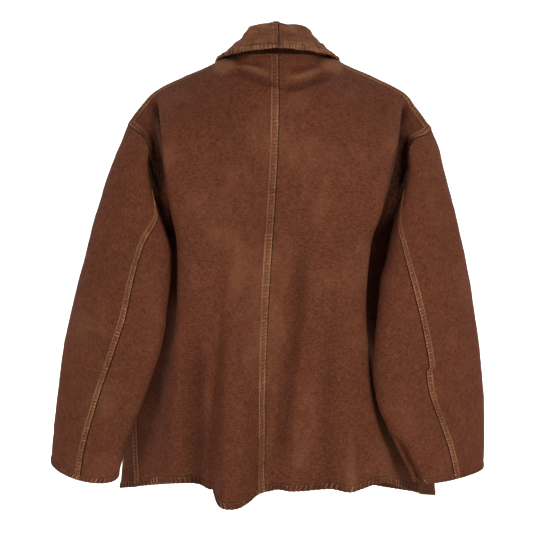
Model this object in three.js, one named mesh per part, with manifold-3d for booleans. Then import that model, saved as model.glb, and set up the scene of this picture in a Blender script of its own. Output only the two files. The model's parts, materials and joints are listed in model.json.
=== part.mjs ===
// Hunting jacket in heavy cotton duck, buttoned and filled out as if worn, with nobody in it.
// Millimetres. +Z is up, the buttoned front faces -Y, the back +Y, the wearer's left is +X.
// The origin is the centre of the neck opening, level with the inner ends of the shoulder seams.
import * as THREE from 'three';
import Module from 'manifold-3d';

// ---- driving dimensions ------------------------------------------------------------------
const CLOTH = 2.0;          // wall of one panel: heavy duck with its turned edges
const SEAM_GAP = 0.3;       // between two sewn pieces
const LAP = 22;             // each front runs this far past the centre line
const LAP_TUCK = 4.6;       // the right front lies this much deeper, under the left one
const UNDERARM_GAP = 1.2;   // where the sleeve, the back and the front all meet
const RIGHT_SHOULDER = 0.02;  // the right shoulder hangs this much wider than the left
const RIGHT_HEM_DROP = 13;  // the right side seam hangs this much lower at the hem
const BACK_LEAN = { shift: 24, from: -80, to: -600, steady: 40, fade: 190 };  // towards +X, at the hem
const SHOULDER_SLIP = { left: 0.3, right: 1 };  // how far the end of each shoulder seam slips back
const BUTTON = { radius: 10, rim: 4.4, dish: 3.0, face: 7, stand: 0.5 };
const BUTTON_HEIGHTS = [-264, -392, -520, -648];

// ---- body: one row for each section, from the hem up, wearer's left ----------------------------
// Each column is a lengthwise line down the panel. Rows A to H run up the armhole.
// `turn` is where the back rounds away and `valley` where the arm lies against it. On the wearer's
// right those two lie `rightIn` nearer the middle.
const BACK_ROWS = [
  { centre: [0, 106, -744], mid: [50, 106, -744], neck: [98, 102, -742], turn: [186, 74, -736],
    valley: [222, 44, -745], edge: [257, 16, -757], rightIn: 4 },
  { centre: [0, 100, -600], mid: [49, 101, -600], neck: [98, 98, -600], turn: [182, 78, -600],
    valley: [212, 32, -604], edge: [262, -4, -608], rightIn: 22 },
  { centre: [0, 101, -450], mid: [48, 101, -450], neck: [98, 98, -450], turn: [171, 82, -450],
    valley: [182, 6, -452], edge: [236, -32, -455], rightIn: 22 },
  { centre: [0, 107, -318], mid: [48, 107, -318], neck: [96, 104, -318], turn: [172, 86, -318],
    valley: [172, -6, -318], edge: [203, -10, -318], rightIn: 14 },
  { centre: [0, 109, -272], mid: [48, 109, -273], neck: [96, 107, -275], turn: [180, 88, -280],
    valley: [181, 22, -283], edge: [202, 30, -288], rightIn: 9 },
  { centre: [0, 111, -222], mid: [49, 111, -223], neck: [97, 109, -226], turn: [187, 88, -236],
    valley: [195, 46, -239], edge: [207, 60, -240], rightIn: 5 },
  { centre: [0, 110, -165], mid: [50, 109, -166], neck: [98, 106, -170], turn: [196, 82, -184],
    valley: [208, 47, -187], edge: [216, 58, -187], rightIn: 0 },
  { centre: [0, 103, -100], mid: [50, 101, -102], neck: [98, 94, -108], turn: [206, 64, -132],
    valley: [221, 36, -138], edge: [234, 42, -140], rightIn: 0 },
  { centre: [0, 92, -48], mid: [50, 86, -50], neck: [96, 66, -54], turn: [214, 36, -88],
    valley: [235, 18, -102], edge: [254, 22, -118], rightIn: 0 },
  { centre: [0, 82, -16], mid: [50, 72, -16], neck: [92, 38, -15], turn: [218, 18, -61],
    valley: [242, 9, -84], edge: [264, 10, -109], rightIn: 0 },
  { centre: [0, 73, 3], mid: [50, 60, 4], neck: [88, 12, 7], turn: [221, 2, -48],
    valley: [247, -1, -72], edge: [271, 0, -104], rightIn: 0 },
];

// The fronts share the back's side seam below the armhole and its shoulder seam on the last row.
const FRONT_ROWS = [
  { edge: [257, 16, -757], side: [288, -26, -768], turn: [222, -84, -775], neck: [150, -101, -776],
    chest: [100, -107, -776], inner: [50, -110, -776], centre: [0, -111, -776] },
  { edge: [262, -4, -608], side: [275, -44, -615], turn: [212, -88, -618], neck: [148, -104, -620],
    chest: [98, -110, -620], inner: [48, -113, -620], centre: [0, -114, -620] },
  { edge: [236, -32, -455], side: [256, -60, -465], turn: [200, -92, -470], neck: [142, -107, -474],
    chest: [95, -113, -475], inner: [46, -116, -475], centre: [0, -117, -475] },
  { edge: [203, -10, -318], side: [230, -60, -335], turn: [192, -94, -350], neck: [136, -108, -362],
    chest: [90, -114, -370], inner: [44, -117, -375], centre: [0, -118, -375] },
  { edge: [202, -42, -288], side: [207, -76, -302], turn: [178, -97, -318], neck: [130, -108, -334],
    chest: [88, -113, -346], inner: [42, -117, -352], centre: [0, -118, -352] },
  { edge: [204, -60, -240], side: [195, -82, -256], turn: [170, -98, -276], neck: [126, -107, -300],
    chest: [86, -112, -318], inner: [41, -116, -330], centre: [0, -118, -330] },
  { edge: [206, -60, -192], side: [194, -78, -208], turn: [168, -92, -228], neck: [120, -102, -258],
    chest: [84, -110, -286], inner: [40, -115, -306], centre: [0, -118, -310] },
  { edge: [226, -42, -148], side: [208, -60, -158], turn: [178, -74, -170], neck: [112, -93, -196],
    chest: [82, -105, -240], inner: [39, -113, -276], centre: [0, -117, -290] },
  { edge: [250, -21, -122], side: [231, -30, -110], turn: [200, -42, -104], neck: [102, -66, -110],
    chest: [81, -94, -170], inner: [39, -110, -238], centre: [0, -117, -272] },
  { edge: [262, -10, -111], side: [240, -14, -90], turn: [214, -18, -70], neck: [94, -28, -48],
    chest: [80, -76, -108], inner: [40, -104, -196], centre: [0, -116, -256] },
  { edge: [271, 0, -104], side: [247, -1, -72], turn: [221, 2, -48], neck: [88, 12, 7],
    chest: [80, -50, -52], inner: [40, -96, -152], centre: [0, -115, -240] },
];
const BODY_CELLS = [3, 3, 3, 2, 2, 2, 2, 1, 1, 1];     // steps between rows, hem to shoulder
const HEM_TO_UNDERARM = 3;                             // spans below the armhole
const SHOULDER_CELLS = { neckToTurn: 4, turnToValley: 2, valleyToEdge: 2 };
const BACK_NECK_CELLS = [3, 3];                        // centre to mid, mid to neck
const FRONT_NECK_CELLS = [2, 2, 3];                    // neck to chest, to inner, to centre

// ---- the largest folds of the back: a row for each ---------------------------------------------
// A fold runs from its top to its foot, `rise` out (+) or in (-), fading in over `fade` from the
// top. It reaches `toRight` and `toLeft` of its line, and lets the hem hang `drop` lower.
const BACK_FOLDS = [
  { name: 'hem flute', topX: 66, topZ: -330, footX: 85, footZ: -760,
    toRight: 65, toLeft: 29, rise: 47, fade: 380, drop: 20 },
  { name: 'valley by the flute', topX: 146, topZ: -390, footX: 138, footZ: -760,
    toRight: 22, toLeft: 40, rise: -13, fade: 210, drop: -2 },
  { name: 'trough by the centre', topX: -44, topZ: -230, footX: 2, footZ: -740,
    toRight: 26, toLeft: 20, rise: -12, fade: 220, drop: -2 },
  { name: 'right skirt trough', topX: -104, topZ: -420, footX: -64, footZ: -770,
    toRight: 34, toLeft: 34, rise: -7, fade: 200, drop: 0 },
  { name: 'right skirt swell', topX: -116, topZ: -520, footX: -124, footZ: -770,
    toRight: 62, toLeft: 38, rise: 7, fade: 200, drop: 8 },
];

// ---- sleeves: a row for each section, shoulder to cuff ------------------------------------------
// `outer` and `inner` are the section's two ends, `deep` is half its depth, `twist` turns the
// seams round it, in degrees, and its back hangs `dip` lower than its middle.
const SLEEVES = {
  left: [
    { outer: [287, 2, -150], inner: [184, 34, -345], deep: 52, twist: 7, dip: 0 },
    { outer: [308, 0, -212], inner: [189, 56, -382], deep: 47, twist: 6, dip: 0 },
    { outer: [341, -6, -325], inner: [194, 72, -428], deep: 43, twist: 6, dip: 0 },
    { outer: [365, -6, -424], inner: [199, 79, -474], deep: 42, twist: 5, dip: 0 },
    { outer: [384, -3, -514], inner: [209, 80, -520], deep: 40, twist: 0, dip: 0 },
    { outer: [395, 0, -602], inner: [236, 78, -596], deep: 37, twist: -5, dip: 2 },
    { outer: [402, 3, -667], inner: [262, 73, -664], deep: 33, twist: -9, dip: 8 },
    { outer: [405, 5, -707], inner: [281, 65, -731], deep: 30, twist: -9, dip: 14 },
  ],
  right: [
    { outer: [287, 2, -150], inner: [191, 34, -345], deep: 52, twist: 17, dip: 0 },
    { outer: [302, 0, -212], inner: [182, 56, -382], deep: 47, twist: 17, dip: 0 },
    { outer: [329, -6, -325], inner: [175, 72, -428], deep: 44, twist: 10, dip: 0 },
    { outer: [347, -4, -424], inner: [168, 82, -480], deep: 44, twist: 1, dip: 0 },
    { outer: [360, 0, -514], inner: [163, 86, -540], deep: 43, twist: -7, dip: 0 },
    { outer: [366, 6, -602], inner: [172, 87, -600], deep: 40, twist: -8, dip: 0 },
    { outer: [365, 12, -670], inner: [202, 84, -672], deep: 35, twist: -14, dip: 3 },
    { outer: [360, 18, -719], inner: [233, 80, -735], deep: 31, twist: -14, dip: 5 },
  ],
};
const SLEEVE_CELLS = [2, 1, 2, 2, 2, 2, 1, 1];
const BACK_SEAM_SPANS = 5;    // spans of the back edge between the shoulder and the sleeve's back seam
const FRONT_SEAM_SPANS = 2;   // spans of the front edge between the underarm and its front seam

// ---- collar: a row for each section, centre back to the top button, wearer's left ------------------
// It stands up from the neckline, rolls over at `fold` and falls outwards to `edge`.
const COLLAR_ROWS = [
  { fold: [0, 66, 50], edge: [0, 104, 7], out: [0, 1, 0], roll: 5 },
  { fold: [46, 52, 48], edge: [63, 71, 7], out: [0.55, 0.83, 0], roll: 5 },
  { fold: [55, 6, 32], edge: [110, 2, 5], out: [1, 0, 0], roll: 4 },
  { fold: [57, -48, -12], edge: [114, -57, -40], out: [0.6, -0.75, 0.25], roll: 4.5 },
  { fold: [24, -94, -128], edge: [88, -112, -160], out: [0.1, -0.99, 0.1], roll: 4 },
  { fold: [3, -117, -222], edge: [16, -123.5, -236], out: [0, -1, 0], roll: 2.6 },
];
const COLLAR_ACROSS = [2, 1, 1, 1, 1, 2];
const COLLAR_END = [1.6, -115.5, -231];     // where the collar stops, just above the top button

// ---- materials -----------------------------------------------------------------------------------
const DUCK = { color: 0x6e4630, roughness: 0.92, metalness: 0 };
const HORN = { color: 0x3a2317, roughness: 0.45, metalness: 0 };

// ---- geometry helpers -----------------------------------------------------------------------------
const point = (xyz) => new THREE.Vector3(xyz[0], xyz[1], xyz[2]);
const mirrored = (p) => new THREE.Vector3(-p.x, p.y, p.z);

/** A point of the left half, or its place in the right half, whose shoulder is a little wider
 *  and whose side seam hangs a little lower. The shoulder seam slips back near the armhole. */
function onSide(p, side) {
  const { smoothstep } = THREE.MathUtils;
  const nearTip = smoothstep(p.x, 195, 262) * smoothstep(p.z, -150, -112);
  const slip = SHOULDER_SLIP[side] * nearTip * (5 + 9 * Math.tanh((p.y + 4) / 5));
  if (side === 'left') return new THREE.Vector3(p.x, p.y, p.z - slip);
  const wider = RIGHT_SHOULDER * smoothstep(p.z, -240, -110);
  const lower = RIGHT_HEM_DROP * smoothstep(p.x, 180, 256) * smoothstep(-p.z, 560, 757);
  return new THREE.Vector3(-p.x * (1 + wider), p.y, p.z - slip - lower);
}
const total = (counts) => counts.reduce((sum, count) => sum + count, 0);

/** Points along a smooth line through the stations, with cells[i] steps after station i. */
function through(stations, cells) {
  const curve = new THREE.CatmullRomCurve3(stations, false, 'centripetal');
  const points = [];
  cells.forEach((count, span) => {
    for (let step = 0; step < count; step += 1) {
      points.push(curve.getPoint((span + step / count) / cells.length));
    }
  });
  points.push(stations[cells.length].clone());
  return points;
}

/** A smooth grid of points through a net of stations: rows of columns. */
function surface(net, rowCells, columnCells) {
  const across = net.map((row) => through(row, columnCells));
  const columns = across[0].map((_, j) => through(across.map((row) => row[j]), rowCells));
  return columns[0].map((_, i) => columns.map((column) => column[i]));
}

/** Lets the middle of the back swing aside lower down, and moves it in or out along its folds. */
function withFolds(grid) {
  const { shift, from, to, steady, fade } = BACK_LEAN;
  for (const row of grid) {
    for (const p of row) {
      const middle = 1 - THREE.MathUtils.smoothstep(Math.abs(p.x), steady, fade);
      p.x += shift * middle * THREE.MathUtils.smoothstep(from - p.z, 0, from - to);
      const start = p.clone();
      for (const fold of BACK_FOLDS) {
        const along = (fold.topZ - start.z) / (fold.topZ - fold.footZ);
        if (along <= 0) continue;
        const aside = start.x - THREE.MathUtils.lerp(fold.topX, fold.footX, along);
        const reach = aside > 0 ? fold.toLeft : fold.toRight;
        if (Math.abs(aside) >= reach) continue;
        const height = 0.5 + 0.5 * Math.cos((Math.PI * aside) / reach);
        const grown = THREE.MathUtils.smoothstep(fold.topZ - start.z, 0, fold.fade);
        p.y += fold.rise * height * grown;
        p.z -= fold.drop * height * grown;
      }
    }
  }
  return grid;
}

/** Outward unit normals of a grid, from its neighbours. */
function normalsOf(grid, sense) {
  const rows = grid.length;
  const columns = grid[0].length;
  return grid.map((row, i) => row.map((_, j) => {
    const up = grid[Math.min(i + 1, rows - 1)][j].clone().sub(grid[Math.max(i - 1, 0)][j]);
    const over = grid[i][Math.min(j + 1, columns - 1)].clone().sub(grid[i][Math.max(j - 1, 0)]);
    return up.cross(over).normalize().multiplyScalar(sense);
  }));
}

const panels = [];

/** Adds a panel. `sense` is +1 or -1 so that its normals point out of the jacket, and `seams`
 *  says which of its edges are sewn: first or last row, first or last column. */
function addPanel(name, grid, sense, seams) {
  panels.push({ name, grid, normals: normalsOf(grid, sense), seams });
}

/** Sewn edges share one normal, so that the walls of two joined pieces meet in a mitre. */
function shareSeamNormals() {
  const meetings = new Map();
  for (const panel of panels) {
    panel.grid.forEach((row, i) => row.forEach((p, j) => {
      const onEdge = i === 0 || j === 0 || i === panel.grid.length - 1 || j === row.length - 1;
      if (!onEdge) return;
      const key = [p.x, p.y, p.z].map((value) => Math.round(value * 100)).join(' ');
      if (!meetings.has(key)) meetings.set(key, []);
      meetings.get(key).push({ panel, i, j });
    }));
  }
  for (const places of meetings.values()) {
    const shared = new THREE.Vector3();
    for (const { panel, i, j } of places) shared.add(panel.normals[i][j]);
    shared.normalize();
    for (const { panel, i, j } of places) panel.normals[i][j] = shared.clone();
  }
}

/** The grid with each sewn edge drawn back by a distance, or let out by a negative one. */
function trimmed({ grid, normals, seams }, distance) {
  const lastRow = grid.length - 1;
  const lastColumn = grid[0].length - 1;
  const result = grid.map((row) => row.map((p) => p.clone()));
  const draw = (i, j, inRow, inColumn, alongRow, alongColumn) => {
    const clamp = THREE.MathUtils.clamp;
    const at = (a, b) => grid[clamp(a, 0, lastRow)][clamp(b, 0, lastColumn)];
    const along = at(i + alongRow, j + alongColumn).clone().sub(at(i - alongRow, j - alongColumn));
    const square = at(i + inRow, j + inColumn).clone().sub(grid[i][j]);
    for (const axis of [along.normalize(), normals[i][j]]) {
      square.addScaledVector(axis, -square.dot(axis));
    }
    result[i][j].addScaledVector(square.normalize(), distance);
  };
  for (let j = 0; j <= lastColumn; j += 1) {
    if (seams.firstRow) draw(0, j, 1, 0, 0, 1);
    if (seams.lastRow) draw(lastRow, j, -1, 0, 0, 1);
  }
  for (let i = 0; i <= lastRow; i += 1) {
    if (seams.firstColumn) draw(i, 0, 0, 1, 1, 0);
    if (seams.lastColumn) draw(i, lastColumn, 0, -1, 1, 0);
  }
  return result;
}

/** A closed wall: the grid is its outer face, and its inner face lies CLOTH inside it. A wall
 *  that is `grown` stands that much proud on both faces, and just over its seams. */
function wall(panel, grown = 0) {
  const outer = trimmed(panel, grown > 0 ? -SEAM_GAP / 3 : SEAM_GAP / 2);
  const rows = outer.length;
  const columns = outer[0].length;
  const positions = [];
  for (const depth of [-grown, CLOTH + grown]) {
    outer.forEach((row, i) => row.forEach((p, j) => {
      positions.push(...p.clone().addScaledVector(panel.normals[i][j], -depth).toArray());
    }));
  }
  const at = (side, i, j) => side * rows * columns + i * columns + j;
  const faces = [];
  const quad = (a, b, c, d) => faces.push(a, b, c, a, c, d);
  for (let i = 0; i < rows - 1; i += 1) {
    for (let j = 0; j < columns - 1; j += 1) {
      quad(at(0, i, j), at(0, i + 1, j), at(0, i + 1, j + 1), at(0, i, j + 1));
      quad(at(1, i, j), at(1, i, j + 1), at(1, i + 1, j + 1), at(1, i + 1, j));
    }
  }
  const rim = [];
  for (let j = 0; j < columns - 1; j += 1) rim.push([0, j]);
  for (let i = 0; i < rows - 1; i += 1) rim.push([i, columns - 1]);
  for (let j = columns - 1; j > 0; j -= 1) rim.push([rows - 1, j]);
  for (let i = rows - 1; i > 0; i -= 1) rim.push([i, 0]);
  rim.forEach(([i, j], step) => {
    const [nextI, nextJ] = rim[(step + 1) % rim.length];
    quad(at(0, i, j), at(0, nextI, nextJ), at(1, nextI, nextJ), at(1, i, j));
  });
  const geometry = new THREE.BufferGeometry();
  geometry.setAttribute('position', new THREE.Float32BufferAttribute(positions, 3));
  geometry.setIndex(faces);
  if (enclosedVolume(geometry) < 0) {
    const index = geometry.getIndex().array;
    for (let k = 0; k < index.length; k += 3) {
      [index[k + 1], index[k + 2]] = [index[k + 2], index[k + 1]];
    }
  }
  geometry.computeVertexNormals();
  return geometry;
}

function enclosedVolume(geometry) {
  const position = geometry.getAttribute('position');
  const index = geometry.getIndex();
  const [a, b, c] = [new THREE.Vector3(), new THREE.Vector3(), new THREE.Vector3()];
  let volume = 0;
  for (let k = 0; k < index.count; k += 3) {
    a.fromBufferAttribute(position, index.getX(k));
    b.fromBufferAttribute(position, index.getX(k + 1));
    c.fromBufferAttribute(position, index.getX(k + 2));
    volume += a.dot(b.cross(c)) / 6;
  }
  return volume;
}

// ---- cutting one wall clear of another -----------------------------------------------------------
// Each kind of panel gives way to these neighbours on its own side.
const CUT_CLEAR_OF = { back: ['front'], sleeve_under: ['back', 'front'], sleeve_upper: ['sleeve_under'] };
const wasm = await Module();
wasm.setup();

function solidOf(geometry) {
  const position = geometry.getAttribute('position').array;
  const faces = geometry.getIndex().array;
  return new wasm.Manifold(new wasm.Mesh({
    numProp: 3, vertProperties: Float32Array.from(position), triVerts: Uint32Array.from(faces),
  }));
}

function geometryOf(solid) {
  const { vertProperties, triVerts } = solid.getMesh();
  const geometry = new THREE.BufferGeometry();
  geometry.setAttribute('position', new THREE.BufferAttribute(vertProperties, 3));
  geometry.setIndex(new THREE.BufferAttribute(triVerts, 1));
  geometry.computeVertexNormals();
  return geometry;
}

/** The panel's wall, cut back where the walls of its neighbours reach into it. */
function clearOf(panel, neighbours) {
  let solid = solidOf(wall(panel));
  for (const neighbour of neighbours) solid = solid.subtract(solidOf(wall(neighbour, SEAM_GAP)));
  const bodies = solid.decompose().sort((a, b) => b.volume() - a.volume());
  return geometryOf(bodies[0]);
}

// ---- body panels ------------------------------------------------------------------------------------
const { neckToTurn, turnToValley, valleyToEdge } = SHOULDER_CELLS;
const armholeRows = BODY_CELLS.slice(HEM_TO_UNDERARM);
const underarmRow = total(BODY_CELLS.slice(0, HEM_TO_UNDERARM));

function backPanel(side) {
  const net = BACK_ROWS.map((row) => {
    const shift = side === 'right' ? row.rightIn : 0;
    const turn = point(row.turn).setX(row.turn[0] - shift);
    const valley = point(row.valley).setX(row.valley[0] - shift);
    const half = [point(row.centre), point(row.mid), point(row.neck), turn, valley, point(row.edge)];
    const opposite = mirrored(point(row.mid));
    return [opposite, ...half].map((p) => onSide(p, side));
  });
  const cells = [1, ...BACK_NECK_CELLS, neckToTurn, turnToValley, valleyToEdge];
  const grid = surface(net, BODY_CELLS, cells).map((row) => row.slice(1));
  return withFolds(grid);
}

/** The front of one side. Its shoulder and side seams take the back's own points. */
function frontPanel(side, back) {
  const tuck = side === 'right' ? LAP_TUCK : 0;
  const net = FRONT_ROWS.map((row) => {
    const centre = point(row.centre).add(new THREE.Vector3(0, tuck, 0));
    const lap = centre.clone().add(new THREE.Vector3(-LAP, tuck / 2, 0));
    const half = [row.edge, row.side, row.turn, row.neck, row.chest, row.inner].map(point);
    return [...half, centre, lap].map((p) => onSide(p, side));
  });
  const cells = [valleyToEdge, turnToValley, neckToTurn, ...FRONT_NECK_CELLS, 1];
  const grid = surface(net, BODY_CELLS, cells);
  const shoulder = valleyToEdge + turnToValley + neckToTurn;
  const [top, backTop] = [grid[grid.length - 1], [...back[back.length - 1]].reverse()];
  for (let j = 0; j <= shoulder; j += 1) top[j] = backTop[j].clone();
  for (let i = 0; i <= underarmRow; i += 1) grid[i][0] = back[i][back[i].length - 1].clone();
  return grid;
}

// ---- sleeves ------------------------------------------------------------------------------------------
/** The armhole as a ring: from the shoulder down the back edge and up the front edge. */
function armholeRing(back, front) {
  const backEdge = back.slice(underarmRow).map((row) => row[row.length - 1]).reverse();
  const frontEdge = front.slice(underarmRow).map((row) => row[0]);
  return { ring: [...backEdge, ...frontEdge.slice(1)], underarm: backEdge.length - 1 };
}

/** How far round the sleeve each ring point lies: 0 outer, 90 back, 180 inner, 270 front. */
function ringAngles(ring, underarm) {
  const travelled = [0];
  for (let k = 1; k < ring.length; k += 1) {
    travelled.push(travelled[k - 1] + ring[k].distanceTo(ring[k - 1]));
  }
  const half = travelled[underarm];
  const whole = travelled[ring.length - 1];
  return travelled.map((far) => {
    if (far <= half) return (180 * far) / half;
    return 180 + (180 * (far - half)) / (whole - half);
  });
}

function sleeveGrid(side, back, front) {
  const flip = side === 'right' ? -1 : 1;
  const { ring, underarm } = armholeRing(back, front);
  const angles = ringAngles(ring, underarm);
  const stations = SLEEVES[side].map((row) => {
    return { ...row, outer: point(row.outer), inner: point(row.inner) };
  });
  const middle = ({ outer, inner }) => outer.clone().add(inner).multiplyScalar(0.5);
  const sections = stations.map((station, k) => {
    const from = middle(stations[Math.max(k - 1, 0)]);
    const to = middle(stations[Math.min(k + 1, stations.length - 1)]);
    const wide = station.outer.clone().sub(station.inner).multiplyScalar(0.5);
    const deep = wide.clone().cross(to.clone().sub(from)).normalize().multiplyScalar(station.deep);
    if (deep.y < 0) deep.negate();
    return angles.map((angle) => {
      const turn = THREE.MathUtils.degToRad(angle + station.twist);
      const p = middle(station);
      p.addScaledVector(wide, Math.cos(turn)).addScaledVector(deep, Math.sin(turn));
      return new THREE.Vector3(p.x * flip, p.y, p.z - station.dip * Math.sin(turn));
    });
  });
  const foot = sections[0][underarm].clone().sub(ring[underarm]).setLength(UNDERARM_GAP);
  ring[underarm] = ring[underarm].clone().add(foot);
  const net = [ring, ...sections];
  const columns = ring.map((_, j) => through(net.map((row) => row[j]), SLEEVE_CELLS));
  return { grid: columns[0].map((_, i) => columns.map((column) => column[i])), underarm };
}

// ---- collar -------------------------------------------------------------------------------------------
function collarGrid(side, back, front) {
  const flip = side === 'right' ? -1 : 1;
  const backNeck = back[back.length - 1].slice(0, total(BACK_NECK_CELLS) + 1);
  const shoulder = valleyToEdge + turnToValley + neckToTurn;
  const frontNeck = front[front.length - 1].slice(shoulder, shoulder + total(FRONT_NECK_CELLS) + 1);
  const neckline = [...backNeck, ...frontNeck.slice(1)];
  neckline[neckline.length - 1] = point([COLLAR_END[0] * flip, COLLAR_END[1], COLLAR_END[2]]);
  const rowCells = [...BACK_NECK_CELLS, ...FRONT_NECK_CELLS];
  let reached = 0;
  const net = COLLAR_ROWS.map((row, k) => {
    const seam = neckline[reached].clone();
    reached += rowCells[k] ?? 0;
    const [fold, edge, out] = [row.fold, row.edge, row.out].map(([x, y, z]) => point([x * flip, y, z]));
    out.normalize();
    const up = fold.clone().sub(seam);
    up.addScaledVector(out, -up.dot(out)).normalize();
    const foldIn = fold.clone().addScaledVector(out, -row.roll);
    const foldTop = fold.clone().addScaledVector(up, row.roll);
    const foldOut = fold.clone().addScaledVector(out, row.roll);
    const stand = seam.clone().lerp(foldIn, 0.5);
    const fall = foldOut.clone().lerp(edge, 0.45).addScaledVector(out, row.roll * 0.5);
    return [seam, stand, foldIn, foldTop, foldOut, fall, edge];
  });
  const grid = surface(net, rowCells, COLLAR_ACROSS);
  return grid.map((row, i) => [neckline[i], ...row.slice(1)]);
}

// ---- buttons ------------------------------------------------------------------------------------------
function buttonGeometry() {
  const profile = [
    [0, 0], [BUTTON.radius - 1, 0], [BUTTON.radius, 1], [BUTTON.radius, BUTTON.rim - 1],
    [BUTTON.radius - 1, BUTTON.rim], [BUTTON.face + 0.6, BUTTON.rim], [BUTTON.face - 0.6, BUTTON.dish],
    [0, BUTTON.dish],
  ].map(([x, y]) => new THREE.Vector2(x, y));
  return new THREE.LatheGeometry(profile, 20);
}

/** Depth of the left front on the centre line at a height. */
function frontDepthAt(front, height) {
  const column = front.map((row) => row[row.length - 2]);
  const above = column.findIndex((p) => p.z >= height);
  const [low, high] = [column[above - 1], column[above]];
  return THREE.MathUtils.mapLinear(height, low.z, high.z, low.y, high.y);
}

// ---- the jacket ---------------------------------------------------------------------------------------
const jacket = new THREE.Group();
jacket.name = 'hunting_jacket';

const fronts = {};
for (const side of ['left', 'right']) {
  const sense = side === 'left' ? 1 : -1;
  const back = backPanel(side);
  const front = frontPanel(side, back);
  fronts[side] = front;
  addPanel(`back_${side}`, back, sense, { lastRow: true, firstColumn: true, lastColumn: true });
  addPanel(`front_${side}`, front, sense, { lastRow: true, firstColumn: true });

  const { grid, underarm } = sleeveGrid(side, back, front);
  const backSeam = total(armholeRows.slice(armholeRows.length - BACK_SEAM_SPANS));
  const frontSeam = underarm + total(armholeRows.slice(0, FRONT_SEAM_SPANS));
  const under = grid.map((row) => row.slice(backSeam, frontSeam + 1));
  const upper = grid.map((row) => [...row.slice(frontSeam, -1), ...row.slice(0, backSeam + 1)]);
  const sewn = { firstRow: true, firstColumn: true, lastColumn: true };
  addPanel(`sleeve_upper_${side}`, upper, sense, sewn);
  addPanel(`sleeve_under_${side}`, under, sense, sewn);

  addPanel(`collar_${side}`, collarGrid(side, back, front), -sense, { firstRow: true, firstColumn: true });
}
shareSeamNormals();
for (const panel of panels) {
  const [, kind, side] = panel.name.match(/^(.*)_(left|right)$/);
  const panelNamed = (other) => panels.find(({ name }) => name === `${other}_${side}`);
  const neighbours = (CUT_CLEAR_OF[kind] ?? []).map(panelNamed);
  const geometry = neighbours.length > 0 ? clearOf(panel, neighbours) : wall(panel);
  const mesh = new THREE.Mesh(geometry, new THREE.MeshStandardMaterial(DUCK));
  mesh.name = panel.name;
  jacket.add(mesh);
}

BUTTON_HEIGHTS.forEach((height, k) => {
  const button = new THREE.Mesh(buttonGeometry(), new THREE.MeshStandardMaterial(HORN));
  button.name = `button_${k + 1}`;
  button.position.set(0, frontDepthAt(fronts.left, height) - BUTTON.stand, height);
  button.rotation.x = Math.PI;
  jacket.add(button);
});

export default jacket;
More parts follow.
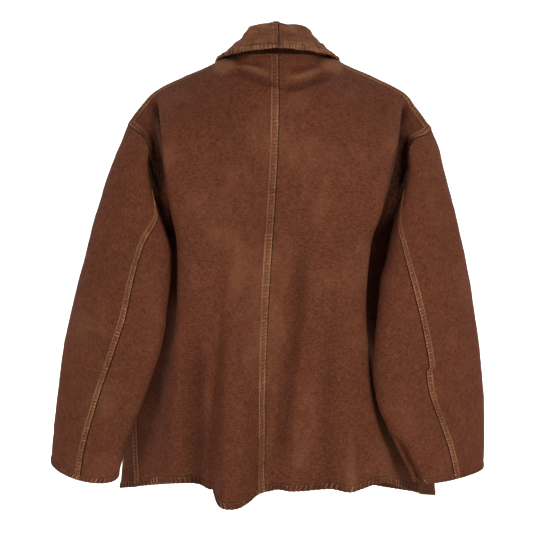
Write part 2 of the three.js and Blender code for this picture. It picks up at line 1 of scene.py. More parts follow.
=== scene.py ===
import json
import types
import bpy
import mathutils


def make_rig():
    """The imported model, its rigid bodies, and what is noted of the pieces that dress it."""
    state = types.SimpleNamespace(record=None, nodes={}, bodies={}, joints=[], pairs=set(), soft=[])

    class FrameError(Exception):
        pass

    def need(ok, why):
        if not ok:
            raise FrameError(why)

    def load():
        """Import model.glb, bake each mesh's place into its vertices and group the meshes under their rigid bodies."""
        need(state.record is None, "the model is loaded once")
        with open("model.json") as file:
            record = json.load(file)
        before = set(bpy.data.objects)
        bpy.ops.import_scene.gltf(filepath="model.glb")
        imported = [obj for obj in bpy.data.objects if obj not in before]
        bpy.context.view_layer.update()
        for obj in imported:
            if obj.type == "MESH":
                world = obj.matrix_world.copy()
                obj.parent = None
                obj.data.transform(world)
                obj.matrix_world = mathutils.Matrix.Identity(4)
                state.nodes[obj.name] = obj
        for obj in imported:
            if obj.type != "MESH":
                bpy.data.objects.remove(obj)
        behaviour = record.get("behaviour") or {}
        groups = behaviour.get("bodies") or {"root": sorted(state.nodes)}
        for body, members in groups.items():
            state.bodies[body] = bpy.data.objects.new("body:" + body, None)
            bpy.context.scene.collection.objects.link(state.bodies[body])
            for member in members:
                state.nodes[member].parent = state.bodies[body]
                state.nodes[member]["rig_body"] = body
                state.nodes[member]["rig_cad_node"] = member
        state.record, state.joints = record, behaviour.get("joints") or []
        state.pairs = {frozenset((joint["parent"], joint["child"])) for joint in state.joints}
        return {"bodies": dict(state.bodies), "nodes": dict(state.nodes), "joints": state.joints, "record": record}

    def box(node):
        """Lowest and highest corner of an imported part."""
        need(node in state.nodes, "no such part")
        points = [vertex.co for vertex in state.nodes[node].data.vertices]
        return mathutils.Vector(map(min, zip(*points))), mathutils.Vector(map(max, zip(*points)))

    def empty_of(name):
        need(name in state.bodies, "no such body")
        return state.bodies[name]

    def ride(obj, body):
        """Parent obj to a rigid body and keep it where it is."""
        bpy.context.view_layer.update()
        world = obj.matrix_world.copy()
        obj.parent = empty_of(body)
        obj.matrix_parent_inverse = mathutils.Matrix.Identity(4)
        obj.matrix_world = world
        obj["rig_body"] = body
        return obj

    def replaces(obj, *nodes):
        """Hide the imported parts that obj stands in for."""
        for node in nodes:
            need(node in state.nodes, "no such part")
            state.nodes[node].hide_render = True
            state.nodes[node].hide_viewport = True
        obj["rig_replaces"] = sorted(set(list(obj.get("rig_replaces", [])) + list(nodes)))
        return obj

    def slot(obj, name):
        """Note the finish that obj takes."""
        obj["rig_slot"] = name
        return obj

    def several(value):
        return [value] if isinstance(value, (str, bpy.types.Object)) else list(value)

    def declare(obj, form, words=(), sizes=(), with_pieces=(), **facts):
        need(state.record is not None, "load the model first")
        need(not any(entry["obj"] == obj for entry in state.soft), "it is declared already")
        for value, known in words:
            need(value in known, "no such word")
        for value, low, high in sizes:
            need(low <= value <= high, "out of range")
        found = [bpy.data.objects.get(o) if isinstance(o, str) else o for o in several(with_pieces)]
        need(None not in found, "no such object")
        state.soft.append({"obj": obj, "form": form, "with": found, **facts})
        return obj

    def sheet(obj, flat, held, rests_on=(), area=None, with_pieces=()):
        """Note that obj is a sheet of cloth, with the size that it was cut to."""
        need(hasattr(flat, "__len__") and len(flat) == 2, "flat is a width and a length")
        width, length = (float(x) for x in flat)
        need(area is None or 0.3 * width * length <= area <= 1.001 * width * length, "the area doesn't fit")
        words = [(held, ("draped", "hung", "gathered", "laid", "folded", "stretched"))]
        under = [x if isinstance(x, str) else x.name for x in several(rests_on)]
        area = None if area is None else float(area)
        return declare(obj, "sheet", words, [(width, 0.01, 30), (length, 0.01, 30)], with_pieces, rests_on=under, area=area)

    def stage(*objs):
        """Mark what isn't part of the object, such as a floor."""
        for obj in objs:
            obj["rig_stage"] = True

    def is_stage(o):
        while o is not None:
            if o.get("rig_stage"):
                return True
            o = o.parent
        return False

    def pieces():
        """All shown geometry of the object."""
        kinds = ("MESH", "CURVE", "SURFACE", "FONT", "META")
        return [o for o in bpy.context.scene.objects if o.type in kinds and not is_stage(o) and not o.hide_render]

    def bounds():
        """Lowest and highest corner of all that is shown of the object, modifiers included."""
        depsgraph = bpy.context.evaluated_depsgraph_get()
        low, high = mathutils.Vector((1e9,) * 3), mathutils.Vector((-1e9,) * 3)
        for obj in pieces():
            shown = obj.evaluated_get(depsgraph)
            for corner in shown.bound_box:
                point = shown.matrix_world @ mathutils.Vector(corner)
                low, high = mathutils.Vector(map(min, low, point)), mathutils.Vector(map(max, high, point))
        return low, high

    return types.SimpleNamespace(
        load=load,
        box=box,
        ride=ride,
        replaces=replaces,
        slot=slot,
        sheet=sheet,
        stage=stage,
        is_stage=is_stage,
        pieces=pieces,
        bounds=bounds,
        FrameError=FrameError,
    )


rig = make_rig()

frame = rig.load()

# A washed cotton duck hunting jacket, buttoned and filled out, seen from the back.
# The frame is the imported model: +Z up, the buttoned front faces -Y, the wearer's left is +X.
# Tables and relief are in millimetres, and every mesh is in metres.
import json
import math

import bmesh
import bpy
import numpy as np
from bpy.props import FloatProperty, FloatVectorProperty, IntProperty, PointerProperty
from mathutils import Vector

bl_info = {
    "name": "Hunting Jacket",
    "version": (1, 0, 0),
    "blender": (4, 5, 0),
    "location": "View3D > Sidebar > Jacket",
    "description": "Builds the cloth, seams, stitches and buttons of a washed duck hunting jacket",
    "category": "Object",
}

MM = 0.001
CAD_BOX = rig.bounds()
SIDES = ("left", "right")


def named_rows(columns, *rows):
    """Rows of a table as dictionaries, by the names of its columns."""
    return tuple(dict(zip(columns, row)) for row in rows)


# ---- cut of the jacket, wearer's left half, in millimetres ----
# Each row is a section from the hem up, and each column a lengthwise line down the panel.
# On the right the turn and the valley lie right_in nearer the middle.
BACK_COLUMNS = ("centre", "mid", "neck", "turn", "valley", "edge")
BACK_ROWS = named_rows(
    (*BACK_COLUMNS, "right_in"),
    ((0, 106, -744), (50, 106, -744), (98, 102, -742), (186, 74, -736), (222, 44, -745),
     (257, 16, -757), 4),
    ((0, 100, -600), (49, 101, -600), (98, 98, -600), (182, 78, -600), (212, 32, -604),
     (262, -4, -608), 22),
    ((0, 101, -450), (48, 101, -450), (98, 98, -450), (171, 82, -450), (182, 6, -452),
     (236, -32, -455), 22),
    ((0, 107, -318), (48, 107, -318), (96, 104, -318), (172, 86, -318), (172, -6, -318),
     (203, -10, -318), 14),
    ((0, 109, -272), (48, 109, -273), (96, 107, -275), (180, 88, -280), (181, 22, -283),
     (202, 30, -288), 9),
    ((0, 111, -222), (49, 111, -223), (97, 109, -226), (187, 88, -236), (195, 46, -239),
     (207, 60, -240), 5),
    ((0, 110, -165), (50, 109, -166), (98, 106, -170), (196, 82, -184), (208, 47, -187),
     (216, 58, -187), 0),
    ((0, 103, -100), (50, 101, -102), (98, 94, -108), (206, 64, -132), (221, 36, -138),
     (234, 42, -140), 0),
    ((0, 92, -48), (50, 86, -50), (96, 66, -54), (214, 36, -88), (235, 18, -102), (254, 22, -118),
     0),
    ((0, 82, -16), (50, 72, -16), (92, 38, -15), (218, 18, -61), (242, 9, -84), (264, 10, -109),
     0),
    ((0, 73, 3), (50, 60, 4), (88, 12, 7), (221, 2, -48), (247, -1, -72), (271, 0, -104), 0),
)

FRONT_COLUMNS = ("edge", "side", "turn", "neck", "chest", "inner", "centre")
FRONT_ROWS = named_rows(
    FRONT_COLUMNS,
    ((257, 16, -757), (288, -26, -768), (222, -84, -775), (150, -101, -776), (100, -107, -776),
     (50, -110, -776), (0, -111, -776)),
    ((262, -4, -608), (275, -44, -615), (212, -88, -618), (148, -104, -620), (98, -110, -620),
     (48, -113, -620), (0, -114, -620)),
    ((236, -32, -455), (256, -60, -465), (200, -92, -470), (142, -107, -474), (95, -113, -475),
     (46, -116, -475), (0, -117, -475)),
    ((203, -10, -318), (230, -60, -335), (192, -94, -350), (136, -108, -362), (90, -114, -370),
     (44, -117, -375), (0, -118, -375)),
    ((202, -42, -288), (207, -76, -302), (178, -97, -318), (130, -108, -334), (88, -113, -346),
     (42, -117, -352), (0, -118, -352)),
    ((204, -60, -240), (195, -82, -256), (170, -98, -276), (126, -107, -300), (86, -112, -318),
     (41, -116, -330), (0, -118, -330)),
    ((206, -60, -192), (194, -78, -208), (168, -92, -228), (120, -102, -258), (84, -110, -286),
     (40, -115, -306), (0, -118, -310)),
    ((226, -42, -148), (208, -60, -158), (178, -74, -170), (112, -93, -196), (82, -105, -240),
     (39, -113, -276), (0, -117, -290)),
    ((250, -21, -122), (231, -30, -110), (200, -42, -104), (102, -66, -110), (81, -94, -170),
     (39, -110, -238), (0, -117, -272)),
    ((262, -10, -111), (240, -14, -90), (214, -18, -70), (94, -28, -48), (80, -76, -108),
     (40, -104, -196), (0, -116, -256)),
    ((271, 0, -104), (247, -1, -72), (221, 2, -48), (88, 12, 7), (80, -50, -52), (40, -96, -152),
     (0, -115, -240)),
)
LAP = 22                  # each front runs this far past the centre line
LAP_TUCK = 4.6            # the right front lies this much deeper, under the left one
RIGHT_SHOULDER = 0.02     # the right shoulder hangs this much wider than the left
RIGHT_HEM_DROP = 13       # the right side seam hangs this much lower at the hem
BACK_LEAN = 24            # the centre back seam swings this far towards +X at the hem
SHOULDER_SLIP = {"left": 0.3, "right": 1.0}   # how far the end of each shoulder seam slips back

# A sleeve section: its outer and inner ends, half its depth, the turn of the seams round it in
# degrees, and how far its back hangs below its middle.
SLEEVE_COLUMNS = ("outer", "inner", "deep", "twist", "dip")
SLEEVE_ROWS = {
    "left": named_rows(
        SLEEVE_COLUMNS,
        ((287, 2, -150), (184, 34, -345), 52, 7, 0),
        ((308, 0, -212), (189, 56, -382), 47, 6, 0),
        ((341, -6, -325), (194, 72, -428), 43, 6, 0),
        ((365, -6, -424), (199, 79, -474), 42, 5, 0),
        ((384, -3, -514), (209, 80, -520), 40, 0, 0),
        ((395, 0, -602), (236, 78, -596), 37, -5, 2),
        ((402, 3, -667), (262, 73, -664), 33, -9, 8),
        ((405, 5, -707), (281, 65, -731), 30, -9, 14),
    ),
    "right": named_rows(
        SLEEVE_COLUMNS,
        ((287, 2, -150), (191, 34, -345), 52, 17, 0),
        ((302, 0, -212), (182, 56, -382), 47, 17, 0),
        ((329, -6, -325), (175, 72, -428), 44, 10, 0),
        ((347, -4, -424), (168, 82, -480), 44, 1, 0),
        ((360, 0, -514), (163, 86, -540), 43, -7, 0),
        ((366, 6, -602), (172, 87, -600), 40, -8, 0),
        ((365, 12, -670), (202, 84, -672), 35, -14, 3),
        ((360, 18, -719), (233, 80, -735), 31, -14, 5),
    ),
}
BACK_SEAM_SPANS = 5       # spans of the back edge between the shoulder and the sleeve's back seam
FRONT_SEAM_SPANS = 2      # spans of the front edge between the underarm and its front seam
ELBOW_JOG = 6             # the back seam of the right sleeve jogs this far at the elbow

# A collar section, centre back to the top button. It rolls over at fold and falls to edge.
COLLAR_ROWS = named_rows(
    ("fold", "edge", "out", "roll"),
    ((0, 66, 50), (0, 104, 7), (0, 1, 0), 5),
    ((46, 52, 48), (63, 71, 7), (0.55, 0.83, 0), 5),
    ((55, 6, 32), (110, 2, 5), (1, 0, 0), 4),
    ((57, -48, -12), (114, -57, -40), (0.6, -0.75, 0.25), 4.5),
    ((24, -94, -128), (88, -112, -160), (0.1, -0.99, 0.1), 4),
    ((3, -117, -222), (16, -123.5, -236), (0, -1, 0), 2.6),
)
COLLAR_END = (1.6, -115.5, -231)
COLLAR_BUMP = 1.8         # rise of the top edge over the centre seam

# ---- fineness of the cloth: steps between the rows and columns above ----
BODY_STEPS = (36, 37, 33, 12, 13, 14, 16, 12, 8, 6)
HEM_TO_UNDERARM = 3
BACK_NECK_STEPS = (12, 12)
NECK_TO_TURN = 26
TURN_TO_VALLEY = 18
VALLEY_TO_EDGE = 12
FRONT_NECK_STEPS = (12, 14, 12)
LAP_STEPS = 6
SLEEVE_STEPS = (18, 12, 24, 24, 22, 22, 17, 13)
COLLAR_STEPS = (16, 20, 22, 30, 26)
COLLAR_ACROSS = (8, 5, 4, 4, 7, 9)

SHOULDER = VALLEY_TO_EDGE + TURN_TO_VALLEY + NECK_TO_TURN
UNDERARM = sum(BODY_STEPS[:HEM_TO_UNDERARM])

# ---- folds, by their paths ----
# Each fold runs along a path of x, z points over the face of the jacket that it names. `rise` is
# its height in millimetres, or its depth where negative. It reaches `right` and `left` of the
# path, going along it, is `crisp` from 0, soft, to 1, a crease, and fades in and out over `ends`.
FOLD_COLUMNS = ("path", "rise", "right", "left", "crisp", "ends")
BACK_FOLDS = named_rows(
    FOLD_COLUMNS,
    # the drag of the neck: a V of troughs under the collar, with a bulge in it
    (((98, -19), (66, -32), (36, -45), (12, -53), (-8, -57)), -6.2, 13, 9, 0.25, (0.3, 0.15)),
    (((4, -56), (-19, -59), (-50, -51), (-78, -37), (-104, -20)), -7.6, 13, 10, 0.3, (0.2, 0.35)),
    (((-4, -43), (-34, -40), (-60, -29), (-88, -12)), 5, 12, 12, 0.0, (0.4, 0.4)),
    (((80, -12), (50, -22), (26, -32), (4, -38)), 4, 11, 11, 0.0, (0.4, 0.4)),
    (((-10, -22), (-32, -22), (-58, -17), (-80, -10)), -4.4, 7, 8, 0.3, (0.3, 0.4)),
    (((20, -16), (42, -14), (64, -12), (84, -14)), -3.8, 7, 8, 0.3, (0.3, 0.4)),
    # the back turns under beside each armhole, and swells below the neck of each shoulder
    (((222, -60), (216, -98), (211, -130), (204, -180), (194, -250)), -14, 8, 22, 0.1,
     (0.12, 0.4)),
    (((-234, -66), (-228, -100), (-218, -144), (-204, -194), (-189, -266)), -17, 12, 13, 0.15,
     (0.12, 0.4)),
    # lower down, the armhole seams sink out of sight beside the sleeves
    (((230, -146), (217, -185), (208, -236), (203, -290)), -15, 13, 14, 0.0, (0.3, 0.3)),
    (((-234, -152), (-218, -186), (-207, -240), (-203, -290)), -17, 14, 13, 0.0, (0.3, 0.3)),
    (((-240, -84), (-238, -108), (-236, -128)), -3, 6, 6, 0.4, (0.3, 0.3)),
    (((70, -2), (96, -10), (120, -24)), 8, 26, 26, 0.0, (0.3, 0.5)),
    (((-70, -2), (-96, -10), (-120, -24)), 8, 26, 26, 0.0, (0.3, 0.5)),
    # soft drags across the shoulder blades
    (((128, -24), (104, -33), (78, -45), (54, -62)), -1.8, 14, 12, 0.1, (0.4, 0.5)),
    (((186, -70), (158, -88), (132, -108), (112, -130)), -1.6, 10, 12, 0.2, (0.4, 0.5)),
    (((-150, -60), (-176, -82), (-190, -108)), -1.5, 12, 10, 0.2, (0.4, 0.5)),
    (((52, -134), (40, -122), (28, -110)), -1.2, 5, 5, 0.6, (0.4, 0.4)),
    # long troughs of the skirt
    (((-50, -225), (-42, -319), (-35, -404), (-32, -471), (-20, -539), (-9, -606), (2, -715)),
     -3.4, 15, 17, 0.15, (0.35, 0.12)),
    (((-76, -330), (-66, -440), (-58, -560), (-52, -690)), 0.8, 20, 18, 0.0, (0.4, 0.2)),
    (((-104, -400), (-96, -460), (-84, -530), (-78, -600), (-84, -690), (-84, -770)), -2.4, 20,
     18, 0.1, (0.3, 0.1)),
    (((-128, -560), (-122, -640), (-124, -770)), 2.6, 18, 18, 0.0, (0.5, 0.1)),
    (((166, -320), (160, -420), (150, -500)), -1.8, 16, 18, 0.0, (0.4, 0.4)),
    (((60, -260), (72, -380), (84, -480)), 1.8, 26, 26, 0.0, (0.4, 0.4)),
    (((26, -600), (34, -680), (34, -770)), -2.4, 13, 14, 0.0, (0.5, 0.1)),
    # small creases
    (((-18, -318), (-30, -323), (-43, -334)), -1.3, 4.5, 6, 0.5, (0.4, 0.4)),
    (((-30, -600), (-44, -618), (-52, -650)), -1.5, 8, 9, 0.2, (0.4, 0.4)),
    (((-110, -250), (-100, -300), (-96, -350)), -1.0, 12, 12, 0.0, (0.4, 0.4)),
    (((98, -650), (92, -700), (94, -760)), -0.9, 8, 8, 0.1, (0.4, 0.1)),
)
# Large folds of the skirt hang out from the body, or in, and move the hem. The first, a flute
# left of the centre, has a steep left wall.
HANGING_FOLDS = named_rows(
    ("top", "foot", "right", "left", "steep", "rise", "fade", "drop"),
    ((66, -330), (85, -760), 65, 29, 3, 47, 380, 19),
    ((146, -390), (139, -760), 22, 40, 0, -13, 210, -2),
    ((-104, -420), (-64, -770), 34, 34, 0, -4, 200, 0),
    ((-116, -520), (-124, -770), 62, 38, 0, 6, 200, 8),
    ((-44, -230), (2, -740), 26, 20, 0, -6, 220, -2),
)

SLEEVE_FOLDS = {
    "left": named_rows(
        FOLD_COLUMNS,
        (((268, -515), (254, -538), (240, -560)), -2.6, 16, 18, 0.1, (0.4, 0.4)),
        (((352, -420), (322, -446), (296, -462)), -2.0, 9, 11, 0.3, (0.4, 0.5)),
        (((346, -470), (318, -484), (292, -486)), -1.8, 8, 10, 0.3, (0.4, 0.5)),
        (((330, -400), (306, -418), (286, -424)), 1.4, 9, 9, 0.0, (0.4, 0.5)),
        (((236, -330), (262, -360), (296, -378)), -1.8, 12, 12, 0.1, (0.3, 0.5)),
        (((388, -560), (360, -590), (334, -600)), -1.8, 12, 12, 0.1, (0.4, 0.5)),
        (((300, -620), (318, -660), (320, -700)), -1.6, 14, 12, 0.0, (0.4, 0.3)),
        (((220, -480), (244, -476), (268, -462)), -1.5, 9, 11, 0.2, (0.3, 0.5)),
    ),
    "right": named_rows(
        FOLD_COLUMNS,
        (((-264, -540), (-286, -525), (-312, -512)), -3.8, 6, 9, 0.5, (0.2, 0.5)),
        (((-246, -548), (-262, -540), (-278, -545)), -2.2, 8, 8, 0.3, (0.3, 0.4)),
        (((-292, -455), (-300, -490), (-304, -515)), 2.2, 18, 16, 0.0, (0.4, 0.4)),
        (((-214, -500), (-226, -540), (-246, -560)), -1.6, 12, 12, 0.1, (0.4, 0.5)),
        # the underside folds back on itself above the cuff, and leaves a rounded roll beside it
        (((-196, -646), (-204, -672), (-216, -698), (-230, -722), (-242, -748)), -10, 17, 10, 0.1,
         (0.35, 0.0)),
        (((-185, -646), (-195, -676), (-209, -706), (-226, -745)), 5, 7, 8, 0.0, (0.35, 0.0)),
        (((-262, -600), (-268, -650), (-266, -690)), -1.8, 13, 12, 0.1, (0.4, 0.4)),
        (((-330, -560), (-336, -620), (-330, -680)), -1.6, 14, 12, 0.0, (0.4, 0.4)),
        (((-246, -250), (-262, -300), (-268, -340)), -1.6, 12, 12, 0.0, (0.4, 0.5)),
    ),
}
FRONT_FOLDS = named_rows(
    FOLD_COLUMNS,
    (((112, -90), (96, -150), (92, -210)), -2.2, 12, 12, 0.1, (0.3, 0.5)),
    (((-120, -84), (-108, -140), (-100, -200)), -2.0, 12, 12, 0.1, (0.3, 0.5)),
    (((170, -300), (120, -330), (76, -338)), -2.4, 13, 13, 0.1, (0.3, 0.5)),
    (((-168, -310), (-124, -336), (-84, -350)), -2.4, 13, 13, 0.1, (0.3, 0.5)),
    (((96, -430), (104, -560), (112, -790)), -3.4, 20, 18, 0.0, (0.4, 0.1)),
    (((150, -480), (160, -620), (168, -790)), 3.4, 24, 22, 0.0, (0.4, 0.1)),
    (((-110, -450), (-122, -580), (-124, -790)), -3.4, 20, 18, 0.0, (0.4, 0.1)),
    (((-60, -500), (-62, -640), (-58, -790)), 2.6, 22, 22, 0.0, (0.4, 0.1)),
    (((50, -520), (48, -660), (52, -790)), -2.2, 18, 18, 0.0, (0.4, 0.1)),
    (((30, -300), (60, -330), (96, -344)), -1.4, 9, 9, 0.2, (0.3, 0.5)),
)


def hex_colour(text):
    """Linear RGBA of an sRGB hex colour."""
    channels = [int(text[k:k + 2], 16) / 255 for k in (0, 2, 4)]
    linear = [c / 12.92 if c <= 0.04045 else ((c + 0.055) / 1.055) ** 2.4 for c in channels]
    return (*linear, 1.0)


def colour_property(name, description, text):
    return FloatVectorProperty(name=name, description=description, subtype="COLOR", size=4,
                               min=0, max=1, default=hex_colour(text))


def length_property(name, description, millimetres):
    return FloatProperty(name=name, description=description, unit="LENGTH", min=0,
                         default=millimetres * MM)


class JacketClothSettings(bpy.types.PropertyGroup):
    """Sizes and colours of the washed duck."""

    wall: length_property("Wall", "Thickness of one panel with its turned edges", 2.0)
    collar_wall: length_property("Collar Wall", "Thickness of the two-layer collar", 3.0)
    thread_pitch: length_property("Thread Pitch", "Spacing of the drawn weave", 1.3)
    red_brown: colour_property("Red Brown", "Commonest colour of the washed cloth", "592e1d")
    olive_brown: colour_property("Olive Brown", "Colour of the cloudier areas", "532d1d")
    faded: colour_property("Faded", "Colour of ridges that washing has rubbed pale", "ac7a56")
    # the dark colour that paints shade into creases, recesses and seam lines, partly dye the wash left there
    unfaded_and_shade: colour_property("Unfaded", "Colour left in creases and beside seams", "200d06")


class JacketSeamSettings(bpy.types.PropertyGroup):
    """Sizes of the seams, hems and stitches."""

    fell_width: length_property("Fell Width", "Width of a flat-felled seam", 11.5)
    fell_rise: length_property("Fell Rise", "How far its folded layers stand proud", 1.15)
    hem_width: length_property("Hem Width", "Depth of the turned hem at the body and cuffs", 10.5)
    hem_rope: length_property("Hem Rope", "Length of one twist of the roped hem", 8.4)
    collar_rope: length_property("Collar Rope", "Length of one pucker of the collar's edge", 6.8)
    stitch_pitch: length_property("Stitch Pitch", "Spacing of the stitches", 3.3)
    stitch_length: length_property("Stitch Length", "Length of thread that shows", 2.5)
    thread_width: length_property("Thread Width", "Thickness of the thread", 0.75)
    thread: colour_property("Thread", "Colour of the sewing thread", "7d5038")
    seed: IntProperty(name="Seed", description="Seed of the stitches' unevenness", default=7, min=0)


class JacketButtonSettings(bpy.types.PropertyGroup):
    """Sizes and colour of the buttons."""

    hole: length_property("Hole", "Width of each of the four holes", 2.2)
    hole_spread: length_property("Hole Spread", "Distance between two neighbouring holes", 4.6)
    buttonhole: length_property("Buttonhole", "Length of a worked buttonhole", 25.0)
    body: colour_property("Body", "Colour of the button", "38241a")


class JacketStageSettings(bpy.types.PropertyGroup):
    """Floor, lights and camera."""

    floor_drop: length_property("Floor Drop", "How far the floor lies below the hem", 160.0)
    key_power: FloatProperty(name="Key Power", description="Power of the large key light",
                             unit="POWER", default=54.0, min=0)
    fill_power: FloatProperty(name="Fill Power", description="Power of the fill light",
                              unit="POWER", default=40.0, min=0)
    backdrop_power: FloatProperty(name="Backdrop Power", description="Power of each backdrop light",
                                  unit="POWER", default=120.0, min=0)
    sky: FloatProperty(name="Sky", description="Strength of the even light all round",
                       default=0.09, min=0)
    paper: colour_property("Paper", "Colour of the floor and backdrop", "f2f2f1")


# ---- smooth surfaces ----
def smoothstep(value, low, high):
    t = np.clip((np.asarray(value, float) - low) / (high - low), 0, 1)
    return t * t * (3 - 2 * t)


def between(value, rise, fall):
    """1 between two ramps, each given by where it starts and ends, and 0 outside them."""
    return smoothstep(value, *rise) * (1 - smoothstep(value, *fall))


def unit(vectors):
    return vectors / np.maximum(np.linalg.norm(vectors, axis=-1, keepdims=True), 1e-9)


def smooth_line(stations, steps):
    """Points on a centripetal Catmull-Rom line through stations, steps[k] of them after station k.
    The first axis runs along the line. Any axes between it and x, y, z are lines of their own."""
    stations = np.asarray(stations, float)
    ends = (2 * stations[:1] - stations[1:2], 2 * stations[-1:] - stations[-2:-1])
    padded = np.concatenate([ends[0], stations, ends[1]])
    gaps = np.linalg.norm(np.diff(padded, axis=0), axis=-1, keepdims=True)
    knots = np.sqrt(np.maximum(gaps, 1e-6))
    pieces = []
    for k, count in enumerate(steps):
        p0, p1, p2, p3 = padded[k:k + 4]
        d0, d1, d2 = knots[k:k + 3]
        # slopes of the span at its two ends
        leave = d1 * ((p1 - p0) / d0 - (p2 - p0) / (d0 + d1) + (p2 - p1) / d1)
        reach = d1 * ((p2 - p1) / d1 - (p3 - p1) / (d1 + d2) + (p3 - p2) / d2)
        t = (np.arange(count) / count).reshape(-1, *([1] * (stations.ndim - 1)))
        square = -3 * p1 + 3 * p2 - 2 * leave - reach
        cube = 2 * p1 - 2 * p2 + leave + reach
        pieces.append(p1 + t * leave + t * t * square + t ** 3 * cube)
    pieces.append(stations[-1:])
    return np.concatenate(pieces)


def smooth_surface(net, row_steps, column_steps):
    """A fine grid of points through a net of stations: rows of columns."""
    across = smooth_line(np.swapaxes(net, 0, 1), column_steps)
    return smooth_line(np.swapaxes(across, 0, 1), row_steps)


def normals_of(grid, sense, closed=False):
    """Outward unit normals of a grid, whose columns may close on themselves."""
    up = np.gradient(grid, axis=0)
    if closed:
        ring = grid[:, :-1]
        over = np.roll(ring, -1, axis=1) - np.roll(ring, 1, axis=1)
        over = np.concatenate([over, over[:, :1]], axis=1)
    else:
        over = np.gradient(grid, axis=1)
    return unit(np.cross(up, over)) * sense


def travelled(grid, axis):
    """How far each point lies from the first along an axis of the grid."""
    steps = np.linalg.norm(np.diff(grid, axis=axis), axis=-1)
    start = np.zeros_like(np.take(steps, [0], axis=axis))
    return np.concatenate([start, np.cumsum(steps, axis=axis)], axis=axis)


def rolling(points, wavelength, seed, waves=28):
    """A smooth uneven field from about -1 to 1 over points, with bumps of about a wavelength."""
    rng = np.random.default_rng(seed)
    total = np.zeros(points.shape[:-1])
    for direction in unit(rng.normal(size=(waves, 3))):
        pitch = wavelength * rng.uniform(0.7, 1.6)
        total += np.sin(2 * np.pi * (points @ direction) / pitch + rng.uniform(0, 2 * np.pi))
    return total / math.sqrt(waves)


# ---- heights of the folds ----
def fold_height(x, z, fold):
    """Height of a fold over points x, z."""
    path = np.array([(px, 0, pz) for px, pz in fold["path"]], float)
    path = smooth_line(path, [6] * (len(path) - 1))[:, [0, 2]]
    start, step = path[:-1], np.diff(path, axis=0)
    length = np.linalg.norm(step, axis=1)
    before = np.concatenate([[0], np.cumsum(length)])
    flat = np.stack([x.ravel(), z.ravel()], 1)
    nearest = np.full(len(flat), np.inf)
    along = np.zeros(len(flat))
    aside = np.zeros(len(flat))
    for k in range(len(step)):
        away = flat - start[k]
        t = np.clip(away @ step[k] / length[k] ** 2, 0, 1)
        gap = away - t[:, None] * step[k]
        far = np.linalg.norm(gap, axis=1)
        closer = far < nearest
        nearest[closer] = far[closer]
        along[closer] = (before[k] + t[closer] * length[k]) / before[-1]
        aside[closer] = (step[k][0] * gap[closer, 1] - step[k][1] * gap[closer, 0])
    reach = np.where(aside > 0, fold["left"], fold["right"])
    share = np.clip(nearest / reach, 0, 1)
    soft = 0.5 + 0.5 * np.cos(np.pi * share)
    height = (1 - fold["crisp"]) * soft + fold["crisp"] * (1 - share) ** 2
    fade_in, fade_out = fold["ends"]
    height *= smoothstep(along, 0, max(fade_in, 1e-3)) if fade_in else 1
    height *= smoothstep(1 - along, 0, max(fade_out, 1e-3)) if fade_out else 1
    return fold["rise"] * height.reshape(x.shape)


def folds_height(grid, folds):
    return sum(fold_height(grid[..., 0], grid[..., 2], fold) for fold in folds)


def hang_height(grid, fold):
    """How far each point takes part in one large fold of the skirt, from 0 to 1."""
    x, z = grid[..., 0], grid[..., 2]
    (top_x, top_z), (foot_x, foot_z) = fold["top"], fold["foot"]
    along = np.clip((top_z - z) / (top_z - foot_z), 0, None)
    aside = x - (top_x + (foot_x - top_x) * along)
    share = np.clip(np.abs(aside) / np.where(aside > 0, fold["left"], fold["right"]), 0, 1)
    height = 0.5 + 0.5 * np.cos(np.pi * share)
    if fold["steep"]:
        broad = 0.5 + 0.5 * np.cos(np.pi * share ** 1.3)
        height = np.where(aside > 0, 1 - share ** fold["steep"], broad)
    return height * smoothstep(top_z - z, 0, fold["fade"])


# ---- pieces of cloth ----
class Cloth:
    """One cut piece: a grid of points in millimetres with normals, and at each the wear, from
    0 to 1, of rubbed cloth, and the shade, from 0 to 1: painted shade in creases and recesses,
    partly dye that the wash left there."""

    def __init__(self, name, grid, normals, relief):
        self.name, self.grid, self.normals = name, grid, normals
        self.wear = np.clip(relief / 20, 0, 0.2)
        # painted shade: the deeper a trough, the darker its colour, partly standing for dye left in it
        self.shade = np.clip((-relief - 1) / 15, 0, 0.75)

    def turn_over(self):
        """Lets the other face of the wall carry the wear, the seam and the edge, as a collar's
        does once it has rolled over."""
        self.grid = self.grid - self.normals * self.wall
        self.normals = -self.normals

    def turned(self, edge):
        """Points, normals, wear and shade in one array, whose first row is the named edge."""
        data = np.concatenate([self.grid, self.normals, self.wear[..., None],
                               self.shade[..., None]], axis=-1)
        return {"first_row": data, "last_row": data[::-1],
                "first_column": np.swapaxes(data, 0, 1),
                "last_column": np.swapaxes(data[:, ::-1], 0, 1)}[edge]


def on_side(points, side):
    """Points of the left half, or their places in the right half, whose shoulder is a little
    wider and whose side seam hangs a little lower."""
    x, y, z = np.moveaxis(points, -1, 0)
    at_tip = SHOULDER_SLIP[side] * smoothstep(x, 195, 262) * smoothstep(z, -150, -112)
    z = z - at_tip * (5 + 9 * np.tanh((y + 4) / 5))
    if side == "left":
        return np.stack([x, y, z], axis=-1)
    wider = RIGHT_SHOULDER * smoothstep(z, -240, -110)
    lower = RIGHT_HEM_DROP * smoothstep(x, 180, 256) * smoothstep(-z, 560, 757)
    return np.stack([-x * (1 + wider), y, z - lower], axis=-1)


def sense_of(side):
    """Which way x runs on a side."""
    return 1 if side == "left" else -1


LUMPS = ((1.0, 120), (0.42, 46), (0.16, 19))    # height and wavelength of each size of lump


def uneven(grid, seed):
    """The slight lumps of a washed garment."""
    return sum(height * rolling(grid, wavelength, seed + k)
               for k, (height, wavelength) in enumerate(LUMPS))
